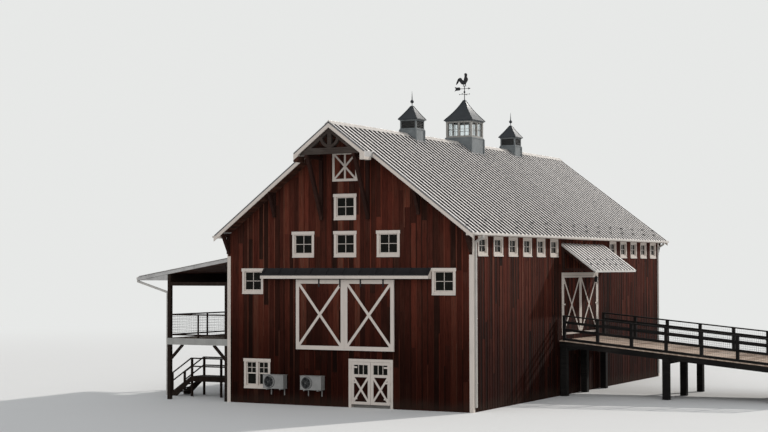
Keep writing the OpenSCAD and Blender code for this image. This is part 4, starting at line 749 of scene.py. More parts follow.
class BARN_OT_wall_boards(bpy.types.Operator):
    """Covers the four walls with upright boards"""

    bl_idname = "barn.wall_boards"
    bl_label = "Wall boards"

    def execute(self, context):
        gables = [*CORNER_HOLES, *(trim_hole(window) for window in GABLE_WINDOWS)]
        left, right = ([trim_hole(window) for window in windows] for windows in (LEFT_WINDOWS, RIGHT_WINDOWS))
        twins = [trim_hole(window) for window in TWINS]
        gable = ((-HALF_W, HALF_W), gable_top, 6.4)
        eaves = ((FRONT_Y + CORNER, BACK_Y - CORNER), eave_top, 5.4)
        for name, seed, face, (span, top, longest), holes in (
                ("front", 11, FRONT, gable, [*gables, twins[0], GROUND_HOLE, SLIDING_HOLE, trim_hole(LOFT)]),
                ("back", 12, BACK, gable, [*gables, *twins]),
                ("left", 13, LEFT, eaves, left),
                ("right", 14, RIGHT, eaves, [*right, ENTRY_HOLE])):
            boards = Piece(name + "_boards", seed)
            gaps = lay_boards(boards, face, span, BOARD_FOOT, top, holes, 0.0, longest)
            lay_battens(boards, face, gaps, BOARD_FOOT, top, holes)
            boards.build("red_boards")
        return {"FINISHED"}


# Places on the roofs: the end of the hood's slopes, the cap's half width and how far sheets pass the verges

HOOD_REACH, CAP_HALF, VERGE = 1.755, 0.165, 0.02
CANOPY_REACH, PORCH_REACH = 1.72, 5.07
SEAM_SHIFT, SHEET_TOP, SHEET_UNDER = 0.03, 0.003, -0.004
# Over how many metres from the front the painted shade and grime beside the seams fade, and by how much.
SHADE_FADE_LENGTH, SHADE_FADE_SHARE = 26.0, 0.75


def lay_sheets(piece, face, span, ends, shade_and_grime_strength=1.0):
    """Standing-seam sheets side by side. The seams run along the face's first axis, each with a painted shadow
    and grime beside it.
    """
    sizes = bpy.context.scene.barn_sizes
    pitch, height = sizes.seam_pitch, sizes.seam_height
    first = math.floor(span[0] / pitch)
    count = int((span[1] - span[0]) / pitch) + 3
    lines = [span[0], *(n * pitch + SEAM_SHIFT for n in range(first, first + count)), span[1]]
    lines = sorted(line for line in lines if span[0] <= line <= span[1])
    for left, right in zip(lines, lines[1:]):
        if right - left < 0.03:
            continue
        thirds = [left + (right - left) * share for share in (0.29, 0.56)]
        ring = [(left, SHEET_TOP, 0.25), (min(left + 0.05, thirds[0] - 0.02), SHEET_TOP, 0.0)]
        for rib in thirds:
            ring += [(rib + across, lift, 0.0) for across, lift in (
                (-0.016, SHEET_TOP), (-0.007, 0.008), (0.007, 0.008), (0.016, SHEET_TOP))]
        # Painted shadow: a dark band on each sheet next to the following seam, fading towards the back, and
        # light grime next to the seam before.
        shade = shade_and_grime_strength * (1.0 - SHADE_FADE_SHARE * min(1.0, max(0.0, (left - span[0]) / SHADE_FADE_LENGTH)))
        ring += [(max(right - 0.155, thirds[1] + 0.018), SHEET_TOP, 0.0),
                 (right - 0.135, SHEET_TOP, 0.95 * shade), (right, SHEET_TOP, shade),
                 (right, SHEET_UNDER, shade), (left, SHEET_UNDER, 0.3)]
        lay_with_shade_and_dirt(piece, face, ring, ends, None)
    # Each seam's side towards the front is darkened as painted shade.
    for line in lines[1:-1]:
        lay_with_shade_and_dirt(piece, face, [(line - 0.012, 0.0, 1.0), (line - 0.012, height * 0.84, 0.8),
                                (line - 0.017, height * 0.86, 0.5), (line - 0.017, height, 0.0),
                                (line + 0.012, height, 0.0), (line + 0.012, 0.0, 0.2)], ends, 0.2)


def lay_with_shade_and_dirt(piece, face, ring, ends, tone):
    """Sweeps a ring of places, heights and shares of painted shade and dirt."""
    face.sweep(piece, [point[:2] for point in ring], ends, 0, tone, [point[2] for point in ring])


class BARN_OT_roof_sheets(bpy.types.Operator):
    """Lays ribbed metal sheets on the roof, the canopy and the porch"""

    bl_idname = "barn.roof_sheets"
    bl_label = "Roof sheets"

    def execute(self, context):
        cap, hood, eave = (reach / RUN for reach in (CAP_HALF, HOOD_REACH, EAVE_X + 0.03))
        for name, seed, slope in (("left", 19, SLOPES[0]), ("right", 21, SLOPES[1])):
            sheets = Piece("roof_sheets_" + name, seed)
            lay_sheets(sheets, slope, (-RAKE_Y - VERGE, RAKE_Y + VERGE), (cap, eave))
            lay_sheets(sheets, slope, (-HOOD_Y - VERGE, -RAKE_Y - VERGE), (cap, hood))
            sheets.build("ribbed_metal")
        for name, seed, face, low, high, end, shade_and_grime_strength in (
                ("canopy", 23, CANOPY, CANOPY_LOW, CANOPY_HIGH, CANOPY_REACH / RUN, 0.4),
                ("porch", 24, PORCH, PORCH_LOW, PORCH_HIGH, PORCH_REACH, 1.0)):
            sheets = Piece(name + "_sheets", seed)
            lay_sheets(sheets, face, (low.y - 0.015, high.y + 0.015), (0.03, end), shade_and_grime_strength)
            sheets.build("ribbed_metal")
        return {"FINISHED"}


class BARN_OT_roof_trim(bpy.types.Operator):
    """Adds the metal edges of the roofs, the snow guards and the flashings"""

    bl_idname = "barn.roof_trim"
    bl_label = "Roof trim"

    def execute(self, context):
        self.snow_guards(context.scene.barn_sizes)
        self.roof_edges()
        self.shaded_return_cover()
        self.track_sheet()
        self.canopy_edges()
        self.ridge_flashing()
        return {"FINISHED"}

    def snow_guards(self, sizes):
        """Rows of guards above the eaves, four seams apart, and above the canopy's edge, two seams apart."""
        guards, pitch = Piece("snow_guards", 31), sizes.seam_pitch
        for row in range(sizes.guard_rows):
            for i in range(int(2 * RAKE_Y / (4 * pitch)) + 1):
                y = (4 * i + 0.5 + row % 2 * 2) * pitch - RAKE_Y
                for slope in SLOPES:
                    if y < RAKE_Y - 0.2:
                        self.guard(guards, slope, EAVE_X / RUN - 0.45 * (row + 1), y)
        for row in range(sizes.guard_rows):
            for i in range(int((CANOPY_HIGH.y - CANOPY_LOW.y) / (2 * pitch))):
                y = CANOPY_LOW.y + (2 * i + 0.5 + row % 2) * pitch
                self.guard(guards, CANOPY, CANOPY_REACH - 0.4 * row, y)
        guards.build("black_iron", "dark_metal")

    def guard(self, piece, face, along, y):
        """One cast stop: a plate on the sheet with a raised face across the slope."""
        face.bar(piece, (along - 0.09, along + 0.09), (y - 0.055, y + 0.055), (0.0, 0.014), 0)
        face.sweep(piece, [(y - 0.07, 0.0), (y + 0.07, 0.0), (y + 0.05, 0.07), (y - 0.05, 0.07)],
                   (along - 0.03, along + 0.02), 0)

    def roof_edges(self):
        """Folded angles along the verges of the hood and the roof."""
        edges = Piece("roof_edges", 32)
        angle = ((0.0358, -0.052), (0.0358, 0.006), (-0.05, 0.006), (-0.05, -0.002), (0.030, -0.002),
                 (0.030, -0.052))
        for slope in SLOPES:
            for y, start, end in ((-HOOD_Y, 0.0, 1.75), (-RAKE_Y, 1.75, EAVE_X), (RAKE_Y, 0.0, EAVE_X)):
                outer = math.copysign(1, y)
                ring = [(y + outer * a, lift) for a, lift in angle]
                slope.sweep(edges, ring, (start / RUN, end / RUN), 0)
        edges.build("roof_edge", "ribbed_metal")

    def shaded_return_cover(self):
        """Brown boards round the boxed end of the hood on its left side, as painted shade: they darken the
        white end, which stands in the hood's shadow.
        """
        cover = Piece("return_shade_boards", 36)
        inner, outer, base, thick = -1.528, -1.7505, 10.655, 0.006
        front, back = -HOOD_Y - 0.0355, -HOOD_Y + 0.545
        inner_top, outer_top = (RIDGE_Z - 0.30 + SLOPE * x for x in (inner, outer))
        WORLD.sweep(cover, [(outer, base), (inner, base), (inner, inner_top), (outer, outer_top)],
                    (front, front + 0.004), 1, 0.3)
        WORLD.bar(cover, (outer, inner), (front, back), (base, base + thick), 1, 0.4)
        WORLD.bar(cover, (inner - 0.002, inner + thick), (front, back), (base, inner_top), 1, 0.3)
        cover.build("soffit_boards", "red_boards")

    def track_sheet(self):
        """The nearly black sheet on the small roof over the track, with a folded front edge and 11 ribs."""
        low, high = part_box("track_cover")
        sheet = Piece("track_sheet", 34)
        wall, front, top, edge = FRONT_Y - 0.002, FRONT_Y - 0.30, high.z, high.z - 0.286
        ring = [(wall, top + 0.004), (wall, top + 0.026), (front, edge + 0.012),
                (front - 0.041, edge + 0.003), (front - 0.041, edge - 0.036), (front - 0.0365, edge - 0.036),
                (front - 0.0365, edge + 0.001), (front, edge + 0.0035)]
        WORLD.sweep(sheet, ring, (low.x - 0.006, high.x + 0.006), 0)
        ring = [(wall, top + 0.02), (wall, top + 0.045), (front - 0.03, edge + 0.028),
                (front - 0.03, edge + 0.005)]
        for i in range(11):
            x = low.x + 0.12 + (high.x - low.x - 0.24) * i / 10
            WORLD.sweep(sheet, ring, (x - 0.008, x + 0.008), 0)
        sheet.build("track_metal", "dark_metal")

    def canopy_edges(self):
        """Pale metal along the three free edges of the canopy's roof."""
        edges, thick = Piece("canopy_edges", 35), 0.08
        angle = ((0.014, -thick - 0.006), (0.014, 0.004), (-0.03, 0.004), (-0.03, 0.001), (0.001, 0.001),
                 (0.001, -thick - 0.006))
        for y, outer in ((CANOPY_LOW.y, -1), (CANOPY_HIGH.y, 1)):
            CANOPY.sweep(edges, [(y + outer * a, lift) for a, lift in angle],
                         (0.03, (CANOPY_HIGH.x - HALF_W) / RUN + 0.01), 0)
        tip = CANOPY_HIGH.z - SLOPE * (CANOPY_HIGH.x - HALF_W)
        foot = tip - thick / RUN - 0.004
        ring = [(CANOPY_HIGH.x + a, z) for a, z in ((0.001, foot), (0.012, foot), (0.012, tip + 0.002),
                                                    (0.001, tip + 0.006))]
        WORLD.sweep(edges, ring, (CANOPY_LOW.y - 0.014, CANOPY_HIGH.y + 0.014), 1)
        edges.build("bright_metal", "ribbed_metal")

    def ridge_flashing(self):
        """The cap over the ridge, with a roll along its top, between the cupolas."""
        cap, half = Piece("ridge_flashing", 33), 0.17 / RUN
        ring = [(0.0, 0.034), (half, 0.034), (half + 0.012, 0.006), (half, 0.002), (0.0, 0.002)]
        for ends in ((-HOOD_Y - 0.03, -6.33), (-5.47, -0.73), (0.73, 5.47), (6.33, RAKE_Y + 0.03)):
            for slope in SLOPES:
                slope.sweep(cap, ring, ends, 1)
            cap.rod(*(Vector((0, y, RIDGE_Z + 0.038)) for y in ends), 0.022, 10)
        cap.build("white_metal", "ribbed_metal", replaces=("ridge_cap",))


SASH_W, BAR_W = 0.042, 0.024


class BARN_OT_windows(bpy.types.Operator):
    """Fits sashes, bars and panes in every window"""

    bl_idname = "barn.windows"
    bl_label = "Windows"

    def execute(self, context):
        bars, panes = Piece("window_bars", 41), Piece("window_panes", 42)
        for face in (FRONT, BACK):
            for window in GABLE_WINDOWS:
                self.sash(bars, panes, face, pane_of(window))
        for face, window in ((FRONT, TWINS[0]), (BACK, TWINS[0]), (BACK, TWINS[1])):
            left, right, low, high = pane_of(window)
            middle, half = (left + right) / 2, (low + high) / 2
            for ends in ((left, middle - TRIM / 2), (middle + TRIM / 2, right)):
                self.sash(bars, panes, face, (*ends, half - 0.02, high))
                self.sash(bars, panes, face, (*ends, low, half + 0.02), 1, 0.03)
        for face, windows in ((LEFT, LEFT_WINDOWS), (RIGHT, RIGHT_WINDOWS)):
            for window in windows:
                self.sash(bars, panes, face, pane_of(window))
        bars.build("white_trim")
        panes.build("window_glass", replaces=("window_glass",))
        return {"FINISHED"}

    def sash(self, bars, panes, face, pane, parts=2, back=0.0):
        """One sash and its pane. Bars divide it in parts each way."""
        left, right, low, high = pane
        out = (-0.075 - back, -0.03 - back)
        inner = (left + SASH_W, right - SASH_W, low + SASH_W * 1.3, high - SASH_W)
        for ends in ((left, inner[0]), (inner[1], right)):
            face.bar(bars, ends, (low, high), out)
        for ends in ((low, inner[2]), (inner[3], high)):
            face.bar(bars, inner[:2], ends, out, 0)
        if parts > 1:
            u, z = (inner[0] + inner[1]) / 2, (inner[2] + inner[3]) / 2
            thin = (out[0] + 0.008, out[1] - 0.008)
            face.bar(bars, (u - BAR_W / 2, u + BAR_W / 2), inner[2:], thin)
            face.bar(bars, inner[:2], (z - BAR_W / 2, z + BAR_W / 2), thin, 0)
        face.bar(panes, (left + 0.01, right - 0.01), (low + 0.01, high - 0.01),
                 (out[0] + 0.016, out[0] + 0.022))


# Places on the doors: the back of a leaf, the panel behind its boards and the share below its glass

LEAF_BACK, BEHIND, GLASS_FROM = 0.0325, (0.004, 0.0092), 0.71
SLIDING = (2.474, 5.542)
HANGERS = (-1.26, -0.20, 0.82, 1.93)


class BARN_OT_door_boards(bpy.types.Operator):
    """Boards the panels of the doors between their white frames"""

    bl_idname = "barn.door_boards"
    bl_label = "Door boards"

    def execute(self, context):
        sliding = Piece("sliding_door_boards", 51)
        for ends in ((-2.435, -0.008), (0.008, 2.435)):
            self.panel(sliding, FRONT, ends, *SLIDING, (0.113, 0.1185), 0.108)
        sliding.build("red_boards")
        loft = Piece("loft_door_boards", 52)
        _, z, w, h = LOFT
        self.panel(loft, FRONT, (0.07 - w / 2, w / 2 - 0.07), z + 0.07, z + h - 0.07)
        loft.build("red_boards")
        for hand in ("left", "right"):
            self.ground_leaf(hand)
        for hand in ("left", "right"):
            name = "entrance_door_" + hand
            low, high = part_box(name)
            self.leaf(name, 54, (RIGHT, RIGHT_INNER), (low.y + 0.04, high.y - 0.04), low.z,
                      high.z - 0.03, 0.01)
        bolts = Piece("hanger_bolts", 55)
        for x in HANGERS:
            FRONT.bar(bolts, (x - 0.037, x + 0.037), (5.224, 5.69), (0.13, 0.141))
            for z in (5.28, 5.42, 5.5):
                bolts.rod(FRONT.at(x, z, 0.139), FRONT.at(x, z, 0.153), 0.012, 6)
        bolts.build("black_iron", "dark_metal")
        return {"FINISHED"}

    def panel(self, piece, face, ends, low, high, behind=BEHIND, out=0.0):
        """Boards over a dark backing."""
        lay_boards(piece, face, ends, low, lambda u: high, out=out)
        face.bar(piece, ends, (low, high), behind, tone=0.0)

    def ground_leaf(self, hand):
        """A leaf with boards below and three panes above."""
        name = "ground_door_" + hand
        low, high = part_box(name)
        glass_z = low.z + (high.z - low.z) * GLASS_FROM
        self.leaf(name, 53, (FRONT, FRONT_INNER), (low.x + 0.03, high.x - 0.03), low.z, glass_z - 0.04, 0.02)
        left, right, top = low.x + 0.125, high.x - 0.125, high.z - 0.115
        if hand == "left":
            left += 0.026
        else:
            right -= 0.026
        pane, bars = Piece(name + "_pane", 56), Piece(name + "_bars", 57)
        FRONT.bar(pane, (left, right), (glass_z - 0.002, top), (-0.0055, -0.0015))
        for i in (1, 2):
            u = left + (right - left) * i / 3
            FRONT.bar(bars, (u - 0.013, u + 0.013), (glass_z, top), (-0.0015, 0.018))
        pane.build("window_glass", body="ground_leaf_" + hand)
        bars.build("white_trim", body="ground_leaf_" + hand)

    def leaf(self, name, seed, faces, ends, foot, top, back_rise):
        """The boards of a hinged leaf, and its boarded back with three rails and two braces."""
        body = name.replace("door", "leaf")
        boards, backs = Piece(name + "_boards", seed), Piece(name + "_back", 58)
        self.panel(boards, faces[0], ends, foot + 0.03, top)
        boards.build("red_boards", body=body)
        low, high = foot + 0.02, top + back_rise
        depth = LEAF_BACK + bpy.context.scene.barn_sizes.board_depth
        out = (depth, depth + 0.02)
        lay_boards(backs, faces[1], ends, low, lambda u: high, out=LEAF_BACK)
        rails = [low + (high - low) * share for share in (0.12, 0.5, 0.88)]
        for z in rails:
            faces[1].bar(backs, ends, (z - 0.06, z + 0.06), out, 0, 0.45)
        for z, upper in zip(rails, rails[1:]):
            backs.prism(*([faces[1].at(start + a, end, b) for a, b in ((0.0, out[0]), (0.0, out[1]),
                                                                       (0.12, out[1]), (0.12, out[0]))]
                          for start, end in ((ends[0], z + 0.06), (ends[1] - 0.12, upper - 0.06))), 0.4)
        backs.build("red_boards", body=body)


class BARN_OT_cupola_trim(bpy.types.Operator):
    """Adds mouldings, bars, hip rolls and skirts to the cupolas"""

    bl_idname = "barn.cupola_trim"
    bl_label = "Cupola trim"

    def execute(self, context):
        trim, skirts = Piece("cupola_mouldings", 61), Piece("cupola_skirts", 62)
        hips = Piece("cupola_hips", 63)
        # middle, half width and top of the base, half width and top of the body, height and sag of the roof
        for y, base, base_z, body, top_z, roof_h, sag in (
                (-5.9, 0.43, 12.61, 0.42, 13.05, 0.67, 0.015), (0.0, 0.73, 12.60, 0.71, 13.46, 1.09, 0.06),
                (5.9, 0.43, 12.61, 0.42, 13.05, 0.67, 0.015)):
            low, high = base_z + 0.012, top_z - 0.04
            self.band(trim, y, base + 0.018, base_z - 0.045, low)
            self.band(trim, y, body + 0.03, high, top_z)
            self.corners(trim, y, base - 0.029, base + 0.041, RIDGE_Z - SLOPE * base + 0.02, base_z - 0.04)
            if body < 0.5:
                self.corners(trim, y, body - 0.052, body + 0.006, low, high)
                self.band(trim, y, body + 0.005, low, low + 0.024)
                self.band(trim, y, body + 0.005, high - 0.025, high)
            self.skirt(skirts, y, base)
            self.hip_rolls(hips, y, body + 0.075, top_z + 0.041, roof_h - 0.035, sag)
        trim.build("cupola_paint", "white_metal")
        skirts.build("roof_edge", "ribbed_metal")
        hips.build("dark_metal")
        return {"FINISHED"}

    def band(self, piece, y, half, low, high):
        """A moulding round all four sides."""
        inner = half - 0.03
        for sign in SIGNS:
            near, far = sorted((sign * half, sign * inner))
            piece.block((-half, y + near, low), (half, y + far, high), 0)
            piece.block((near, y - inner, low), (far, y + inner, high), 1)

    def corners(self, piece, y, near, far, low, high):
        """A bar at each of the four corners."""
        for sx, sy in CORNERS:
            xs, ys = sorted((sx * near, sx * far)), sorted((y + sy * near, y + sy * far))
            piece.block((xs[0], ys[0], low), (xs[1], ys[1], high))

    def skirt(self, piece, y, base):
        """Flashing where a base meets the roof."""
        reach = base / RUN
        for slope in SLOPES:
            slope.sweep(piece, [(reach - 0.01, 0.0), (reach + 0.10, 0.0), (reach + 0.10, 0.034),
                                (reach - 0.01, 0.040)], (y - base - 0.08, y + base + 0.08), 1)
            for end in SIGNS:
                ring = [(y + end * a, lift) for a, lift in ((base, 0.0), (base + 0.09, 0.0),
                                                            (base + 0.09, 0.034), (base, 0.05))]
                slope.sweep(piece, ring, (0.0, reach), 0)

    def hip_rolls(self, piece, y, half, z, height, sag):
        """Rolls down the four hips, which sag between the peak and the eaves."""
        steps, top = 8, 0.045
        shares = [i / steps for i in range(steps + 1)]
        rings = [(top + (half - top) * (1 - share) - sag * math.sin(math.pi * share), z + height * share)
                 for share in shares]
        for sx, sy in CORNERS:
            path = [Vector((sx * reach, y + sy * reach, rise)) for reach, rise in rings]
            for start, end in zip(path, path[1:]):
                piece.rod(start, end, 0.016, 6)


WIRE = 0.003


class BARN_OT_porch_parts(bpy.types.Operator):
    """Lays the porch's planks and ceiling and strings its rail mesh"""

    bl_idname = "barn.porch_parts"
    bl_label = "Porch parts"

    def execute(self, context):
        sizes = context.scene.barn_sizes
        self.planks(sizes)
        self.ceiling()
        self.hood_ceiling()
        self.mesh(sizes)
        return {"FINISHED"}

    def planks(self, sizes):
        """Planks along the wall, in lengths of 2.4 to 4.4 m."""
        low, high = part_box("porch_deck")
        planks = Piece("porch_planks", 71)
        draw = planks.random.uniform
        x, last, far_y = low.x + 0.005, -HALF_W - 0.03, high.y - 0.005
        while x < last - 0.02:
            end, y = min(x + sizes.plank_width, last), low.y + 0.005
            while y < far_y - 0.02:
                stop = min(y + draw(2.4, 4.4), far_y)
                planks.block((x + 0.002, y, high.z - 0.004),
                             (end - 0.004, stop - 0.003, high.z + draw(0.006, 0.009)), 1, None, 0.002)
                y = stop
            x = end
        planks.build("floor_planks")

    def ceiling(self):
        """Boards under the porch's roof, along the wall."""
        ceiling = Piece("porch_ceiling", 72)
        width, under = 0.13, -0.16 / math.cos(PORCH_PITCH)
        along, last = 0.03, -HALF_W - PORCH_LOW.x
        while along < last - 0.15:
            end = min(along + width, last - 0.06)
            ring = [(a, under - d) for a, d in ((along, -0.004), (end - 0.004, -0.004), (end - 0.004, 0.014),
                                                (along, 0.014))]
            ring = [(-HALF_W - a, PORCH_HIGH.z - a * PORCH_SLOPE + lift) for a, lift in ring]
            WORLD.sweep(ceiling, ring, (PORCH_LOW.y + 0.04, PORCH_HIGH.y - 0.04), 1, None)
            along = end
        ceiling.build("soffit_boards", "red_boards")

    def hood_ceiling(self):
        """Boards under the overhangs of the main roof at both gables."""
        soffit, width = Piece("hood_ceiling", 73), 0.13
        for slope in SLOPES:
            for ends, reach in (((-HOOD_Y + 0.02, -RAKE_Y), 1.5), ((-RAKE_Y + 0.01, FRONT_Y), 6.0),
                                ((BACK_Y, RAKE_Y - 0.01), 6.0)):
                along = 0.03
                while along < reach / RUN:
                    end = min(along + width, reach / RUN) - 0.004
                    slope.sweep(soffit, [(along, -0.196), (end, -0.196), (end, -0.212), (along, -0.212)],
                                ends, 1, None)
                    along += width
        soffit.build("soffit_boards", "red_boards")

    def mesh(self, sizes):
        """Upright wires between the rails of the two ends and the two bays of the long side."""
        mesh = Piece("porch_mesh", 74)
        low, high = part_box("porch_railings")
        base, top, middle = FLOOR_Z + 0.14, high.z - 0.03, (low.y + high.y) / 2
        ends = (low.x + 0.06, high.x)
        runs = [(ends, lambda u, y=y: (u, y)) for y in (low.y + 0.03, high.y - 0.03)]
        runs += [(bay, lambda u: (low.x + 0.03, u)) for bay in ((low.y + 0.1, middle - 0.09),
                                                                (middle + 0.09, high.y - 0.1))]
        for (start, stop), place in runs:
            count = int((stop - start) / sizes.mesh_pitch) + 1
            for i in range(1, count):
                x, y = place(start + i * (stop - start) / count)
                mesh.rod(Vector((x, y, base)), Vector((x, y, top)), WIRE)
        mesh.build("black_iron", "dark_metal")


DECK_LOW, DECK_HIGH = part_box("bridge_deck")
RAMP_FROM, RAMP_SLOPE = HALF_W + 0.25, math.tan(math.radians(5.5))


def deck_top(x):
    """The bridge's height: level at the door, then down the ramp."""
    return DECK_HIGH.z - RAMP_SLOPE * max(0.0, x - RAMP_FROM)


class BARN_OT_bridge_parts(bpy.types.Operator):
    """Lays the bridge's planks and strings the mesh of its rails"""

    bl_idname = "barn.bridge_parts"
    bl_label = "Bridge parts"

    def execute(self, context):
        sizes = context.scene.barn_sizes
        rails = [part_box(name) for name in ("bridge_railing_front", "bridge_railing_back")]
        self.planks(sizes, rails)
        self.mesh(sizes, rails)
        return {"FINISHED"}

    def planks(self, sizes, rails):
        """Planks across the bridge, and their ends outside the rails."""
        planks = Piece("bridge_planks", 81)
        between = [((rails[0][1].y, rails[1][0].y), 0.002, 0.004, -0.008)]
        outside = [((y, y + 0.012), 0.0, 0.056, 0.003) for y in (DECK_LOW.y - 0.012, DECK_HIGH.y)]
        for group in (between, outside):
            x = HALF_W + 0.03
            while x < DECK_HIGH.x - 0.02:
                end = min(x + sizes.plank_width, DECK_HIGH.x)
                for ends, gap, foot, lid in group:
                    ring = [(a, deck_top(a) - depth) for a, depth in (
                        (x + gap, foot), (end - 0.004, foot), (end - 0.004, lid), (x + gap, lid))]
                    WORLD.sweep(planks, ring, ends, 1, None)
                x = end
        planks.build("bridge_planks", "floor_planks")

    def mesh(self, sizes, rails):
        """Upright wires and nine long ones in each rail."""
        mesh = Piece("bridge_mesh", 82)
        start, stop = rails[0][0].x + 0.14, DECK_HIGH.x - 0.14
        for rail in rails:
            y = (rail[0].y + rail[1].y) / 2
            count = int((stop - start) / sizes.mesh_pitch)
            for i in range(count + 1):
                x = start + (stop - start) * i / count
                mesh.rod(*(Vector((x, y, deck_top(x) + lift)) for lift in (0.11, 1.13)), WIRE)
            for k in range(1, 10):
                mesh.rod(*(Vector((x, y, deck_top(x) + 0.11 + 0.1 * k)) for x in (start, stop)), WIRE)
        mesh.build("black_iron", "dark_metal")


class BARN_OT_heat_pumps(bpy.types.Operator):
    """Adds guards, seams and vents to the heat pumps"""

    bl_idname = "barn.heat_pumps"
    bl_label = "Heat pump details"

    def execute(self, context):
        guards, shells = Piece("fan_guards", 91), Piece("heat_pump_shells", 92)
        blades = Piece("fan_blades", 93)
        for x in (-3.95, -2.03):
            centre, disc = FRONT.at(x + 0.34, 1.025, 0.456), FRONT.at(x + 0.34, 1.025, 0.416)
            for radius in (0.05, 0.09, 0.13, 0.17, 0.21, 0.25):
                guards.hoop(centre, -Y, radius, 0.0035, 28)
            guards.hoop(centre, -Y, 0.265, 0.008, 36)
            guards.rod(disc, disc + Y * 0.012, 0.255, 32)
            for tip in self.spokes(5):
                side = Vector((-tip.z, 0, tip.x))
                ring = [tip * a + side * b
                        for a, b in ((0.05, -0.02), (0.05, 0.03), (0.22, 0.11), (0.235, -0.02))]
                blades.prism(*([disc + p - Y * depth for p in ring] for depth in (0.014, 0.020)), 0.5)
            blades.rod(disc - Y * 0.004, disc - Y * 0.03, 0.055, 16)
            for spoke in self.spokes(12):
                guards.rod(centre + spoke * 0.04, centre + spoke * 0.265, WIRE)
            for ends, heights, out in (((-0.012, 1.062), (1.312, 1.335), (0.10, 0.465)),
                                       ((-0.004, 1.054), (0.722, 0.76), (0.12, 0.456)),
                                       ((0.66, 0.666), (0.76, 1.312), (0.44, 0.452)),
                                       *(((1.046, 1.056), (z, z + 0.016), (0.18, 0.40))
                                         for z in (0.86 + i * 0.045 for i in range(9)))):
                FRONT.bar(shells, (x + ends[0], x + ends[1]), heights, out, 0)
        guards.build("black_iron", "dark_metal")
        blades.build("louvre_paint", "dark_metal")
        shells.build("grey_enamel")
        return {"FINISHED"}

    def spokes(self, count):
        turns = [math.tau * i / count for i in range(count)]
        return [Vector((math.cos(turn), 0, math.sin(turn))) for turn in turns]


class BARN_OT_lantern_bars(bpy.types.Operator):
    """Divides the panes of the middle cupola and bands the pipes"""

    bl_idname = "barn.lantern_bars"
    bl_label = "Lantern bars and pipe bands"

    def execute(self, context):
        bars = Piece("lantern_bars", 95)
        low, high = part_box("cupola_lantern")
        bottom, top, out = low.z + 0.1, high.z - 0.1, (high.x - 0.06, high.x - 0.035)
        z = (bottom + top) / 2
        for quarter in range(4):
            turn = Matrix.Rotation(math.pi / 2 * quarter, 3, "Z")
            pane = Face((0, 0, 0), turn @ X, UP, turn @ Y)
            pane.bar(bars, (-0.6, 0.6), (z - 0.01, z + 0.01), out, 0)
            for x in (-0.325, 0.325):
                pane.bar(bars, (x - 0.01, x + 0.01), (bottom, top), out)
        bars.build("lantern_shade_paint", "white_trim")
        bands = Piece("pipe_bands", 96)
        for sx, y in ((1, FRONT_Y + 0.225), (1, BACK_Y - 0.225), (-1, BACK_Y - 0.225)):
            near, far = sorted((sx * HALF_W, sx * (HALF_W + 0.096)))
            for z in (1.2, 3.9, 6.4):
                bands.block((near, y - 0.052, z), (far, y + 0.052, z + 0.03), 1, chamfer=0.003)
        bands.build("white_metal")
        return {"FINISHED"}


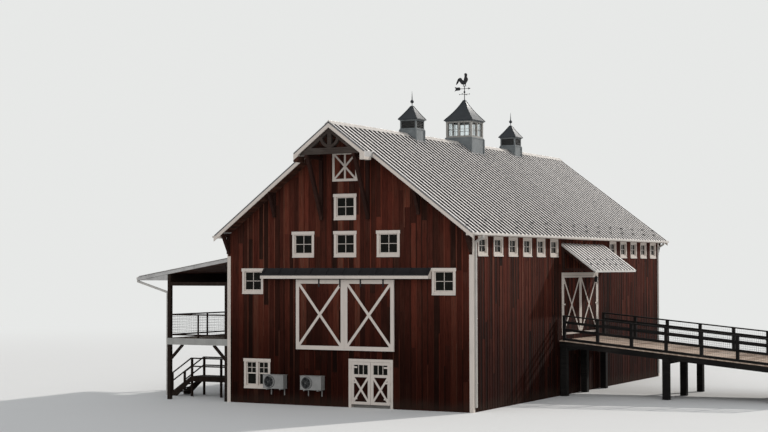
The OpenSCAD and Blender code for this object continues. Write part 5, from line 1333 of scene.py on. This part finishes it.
class BARN_OT_stage(bpy.types.Operator):
    """Sets the floor, the lights, the backdrop and the camera"""

    bl_idname = "barn.stage"
    bl_label = "Stage"

    def execute(self, context):
        scene = context.scene
        self.lay_floor(scene)
        self.light_world(scene)
        self.add_sun(scene, "key_sun", (64.0, 0.0, 157.0), 2.75, 2.0, (1.0, 0.965, 0.92))
        self.add_sun(scene, "fill_sun", (58.0, 0.0, 16.0), 0.9, 60.0, (0.98, 0.99, 1.0))
        self.place_camera(scene)
        scene.view_settings.view_transform = "Standard"
        return {"FINISHED"}

    def lay_floor(self, scene):
        reach, sides = 400.0, 96
        turns = [math.tau * i / sides for i in range(sides)]
        mesh = bpy.data.meshes.new("floor")
        mesh.from_pydata([(reach * math.cos(turn), reach * math.sin(turn), 0.0) for turn in turns], [],
                         [list(range(sides))])
        mesh.materials.append(stage_floor(scene.barn_colours))
        floor = bpy.data.objects.new("floor", mesh)
        scene.collection.objects.link(floor)

    def light_world(self, scene):
        """An even sky lights the barn, and what the camera, gloss and glass see of it is the backdrop."""
        world = bpy.data.worlds.new("studio")
        world.use_nodes = True
        scene.world = world
        shading = Shading(world.node_tree)
        sky = shading.tree.nodes["Background"]
        shading.join((0.93, 0.96, 1.0), sky.inputs["Color"])
        shading.join(0.44, sky.inputs["Strength"])
        backdrop = shading.node("Background", {}, {"Color": tuple(scene.barn_colours.backdrop)})
        seen, glossy, through = (shading.node("LightPath", {}, {}, name)
                                 for name in ("Is Camera Ray", "Is Glossy Ray", "Is Transmission Ray"))
        shown = seen.maths("MAXIMUM", seen, glossy.maths("MAXIMUM", glossy, through))
        light = Signal(shading, sky.outputs[0])
        shading.show(shading.node("MixShader", {}, [shown, light, backdrop]), "World Output")

    def add_sun(self, scene, name, turn, strength, softness, colour):
        lamp = bpy.data.lights.new(name, "SUN")
        lamp.energy, lamp.color = strength, colour
        lamp.angle = math.radians(softness)
        made = bpy.data.objects.new(name, lamp)
        made.rotation_euler = [math.radians(value) for value in turn]
        scene.collection.objects.link(made)

    def place_camera(self, scene):
        """The camera stands where the photograph was taken from, a little above the eye."""
        yaw, pitch, roll = (math.radians(value) for value in (27.859, 1.904, -0.127))
        flat = Vector((-math.sin(yaw), math.cos(yaw), 0.0))
        forward = flat * math.cos(pitch) + UP * math.sin(pitch)
        right = Vector((math.cos(yaw), math.sin(yaw), 0.0))
        up = right.cross(forward)
        right, up = right * math.cos(roll) + up * math.sin(roll), up * math.cos(roll) - right * math.sin(roll)
        data = bpy.data.cameras.new("camera")
        data.sensor_width, data.lens = 36.0, 73.49
        data.clip_start, data.clip_end = 0.5, 900.0
        camera = bpy.data.objects.new("camera", data)
        basis = Matrix((right, up, -forward)).transposed().to_4x4()
        basis.translation = (33.467, -72.097, 6.041)
        camera.matrix_world = basis
        scene.collection.objects.link(camera)
        scene.camera = camera


OPERATORS = (BARN_OT_frame_finishes, BARN_OT_wall_boards, BARN_OT_roof_sheets, BARN_OT_roof_trim,
             BARN_OT_windows, BARN_OT_door_boards, BARN_OT_cupola_trim, BARN_OT_porch_parts,
             BARN_OT_bridge_parts, BARN_OT_heat_pumps, BARN_OT_lantern_bars, BARN_OT_stage)


class BARN_PT_dressing(bpy.types.Panel):
    """Lists the barn's sizes, colours and steps"""

    bl_idname = "BARN_PT_dressing"
    bl_label = "Barn dressing"
    bl_space_type = "VIEW_3D"
    bl_region_type = "UI"
    bl_category = "Barn"

    def draw(self, context):
        for group in (context.scene.barn_sizes, context.scene.barn_colours):
            box = self.layout.box()
            for name in group.bl_rna.properties.keys():
                if name not in ("rna_type", "name"):
                    box.prop(group, name)
        for operator in OPERATORS:
            self.layout.operator(operator.bl_idname)


CLASSES = (BarnSizes, BarnColours, *OPERATORS, BARN_PT_dressing)


def register():
    for item in CLASSES:
        bpy.utils.register_class(item)
    bpy.types.Scene.barn_sizes = PointerProperty(type=BarnSizes)
    bpy.types.Scene.barn_colours = PointerProperty(type=BarnColours)


def unregister():
    del bpy.types.Scene.barn_colours
    del bpy.types.Scene.barn_sizes
    for item in reversed(CLASSES):
        bpy.utils.unregister_class(item)


def main():
    register()
    for operator in OPERATORS:
        group, name = operator.bl_idname.split(".")
        getattr(getattr(bpy.ops, group), name)()


if __name__ == "__main__":
    main()
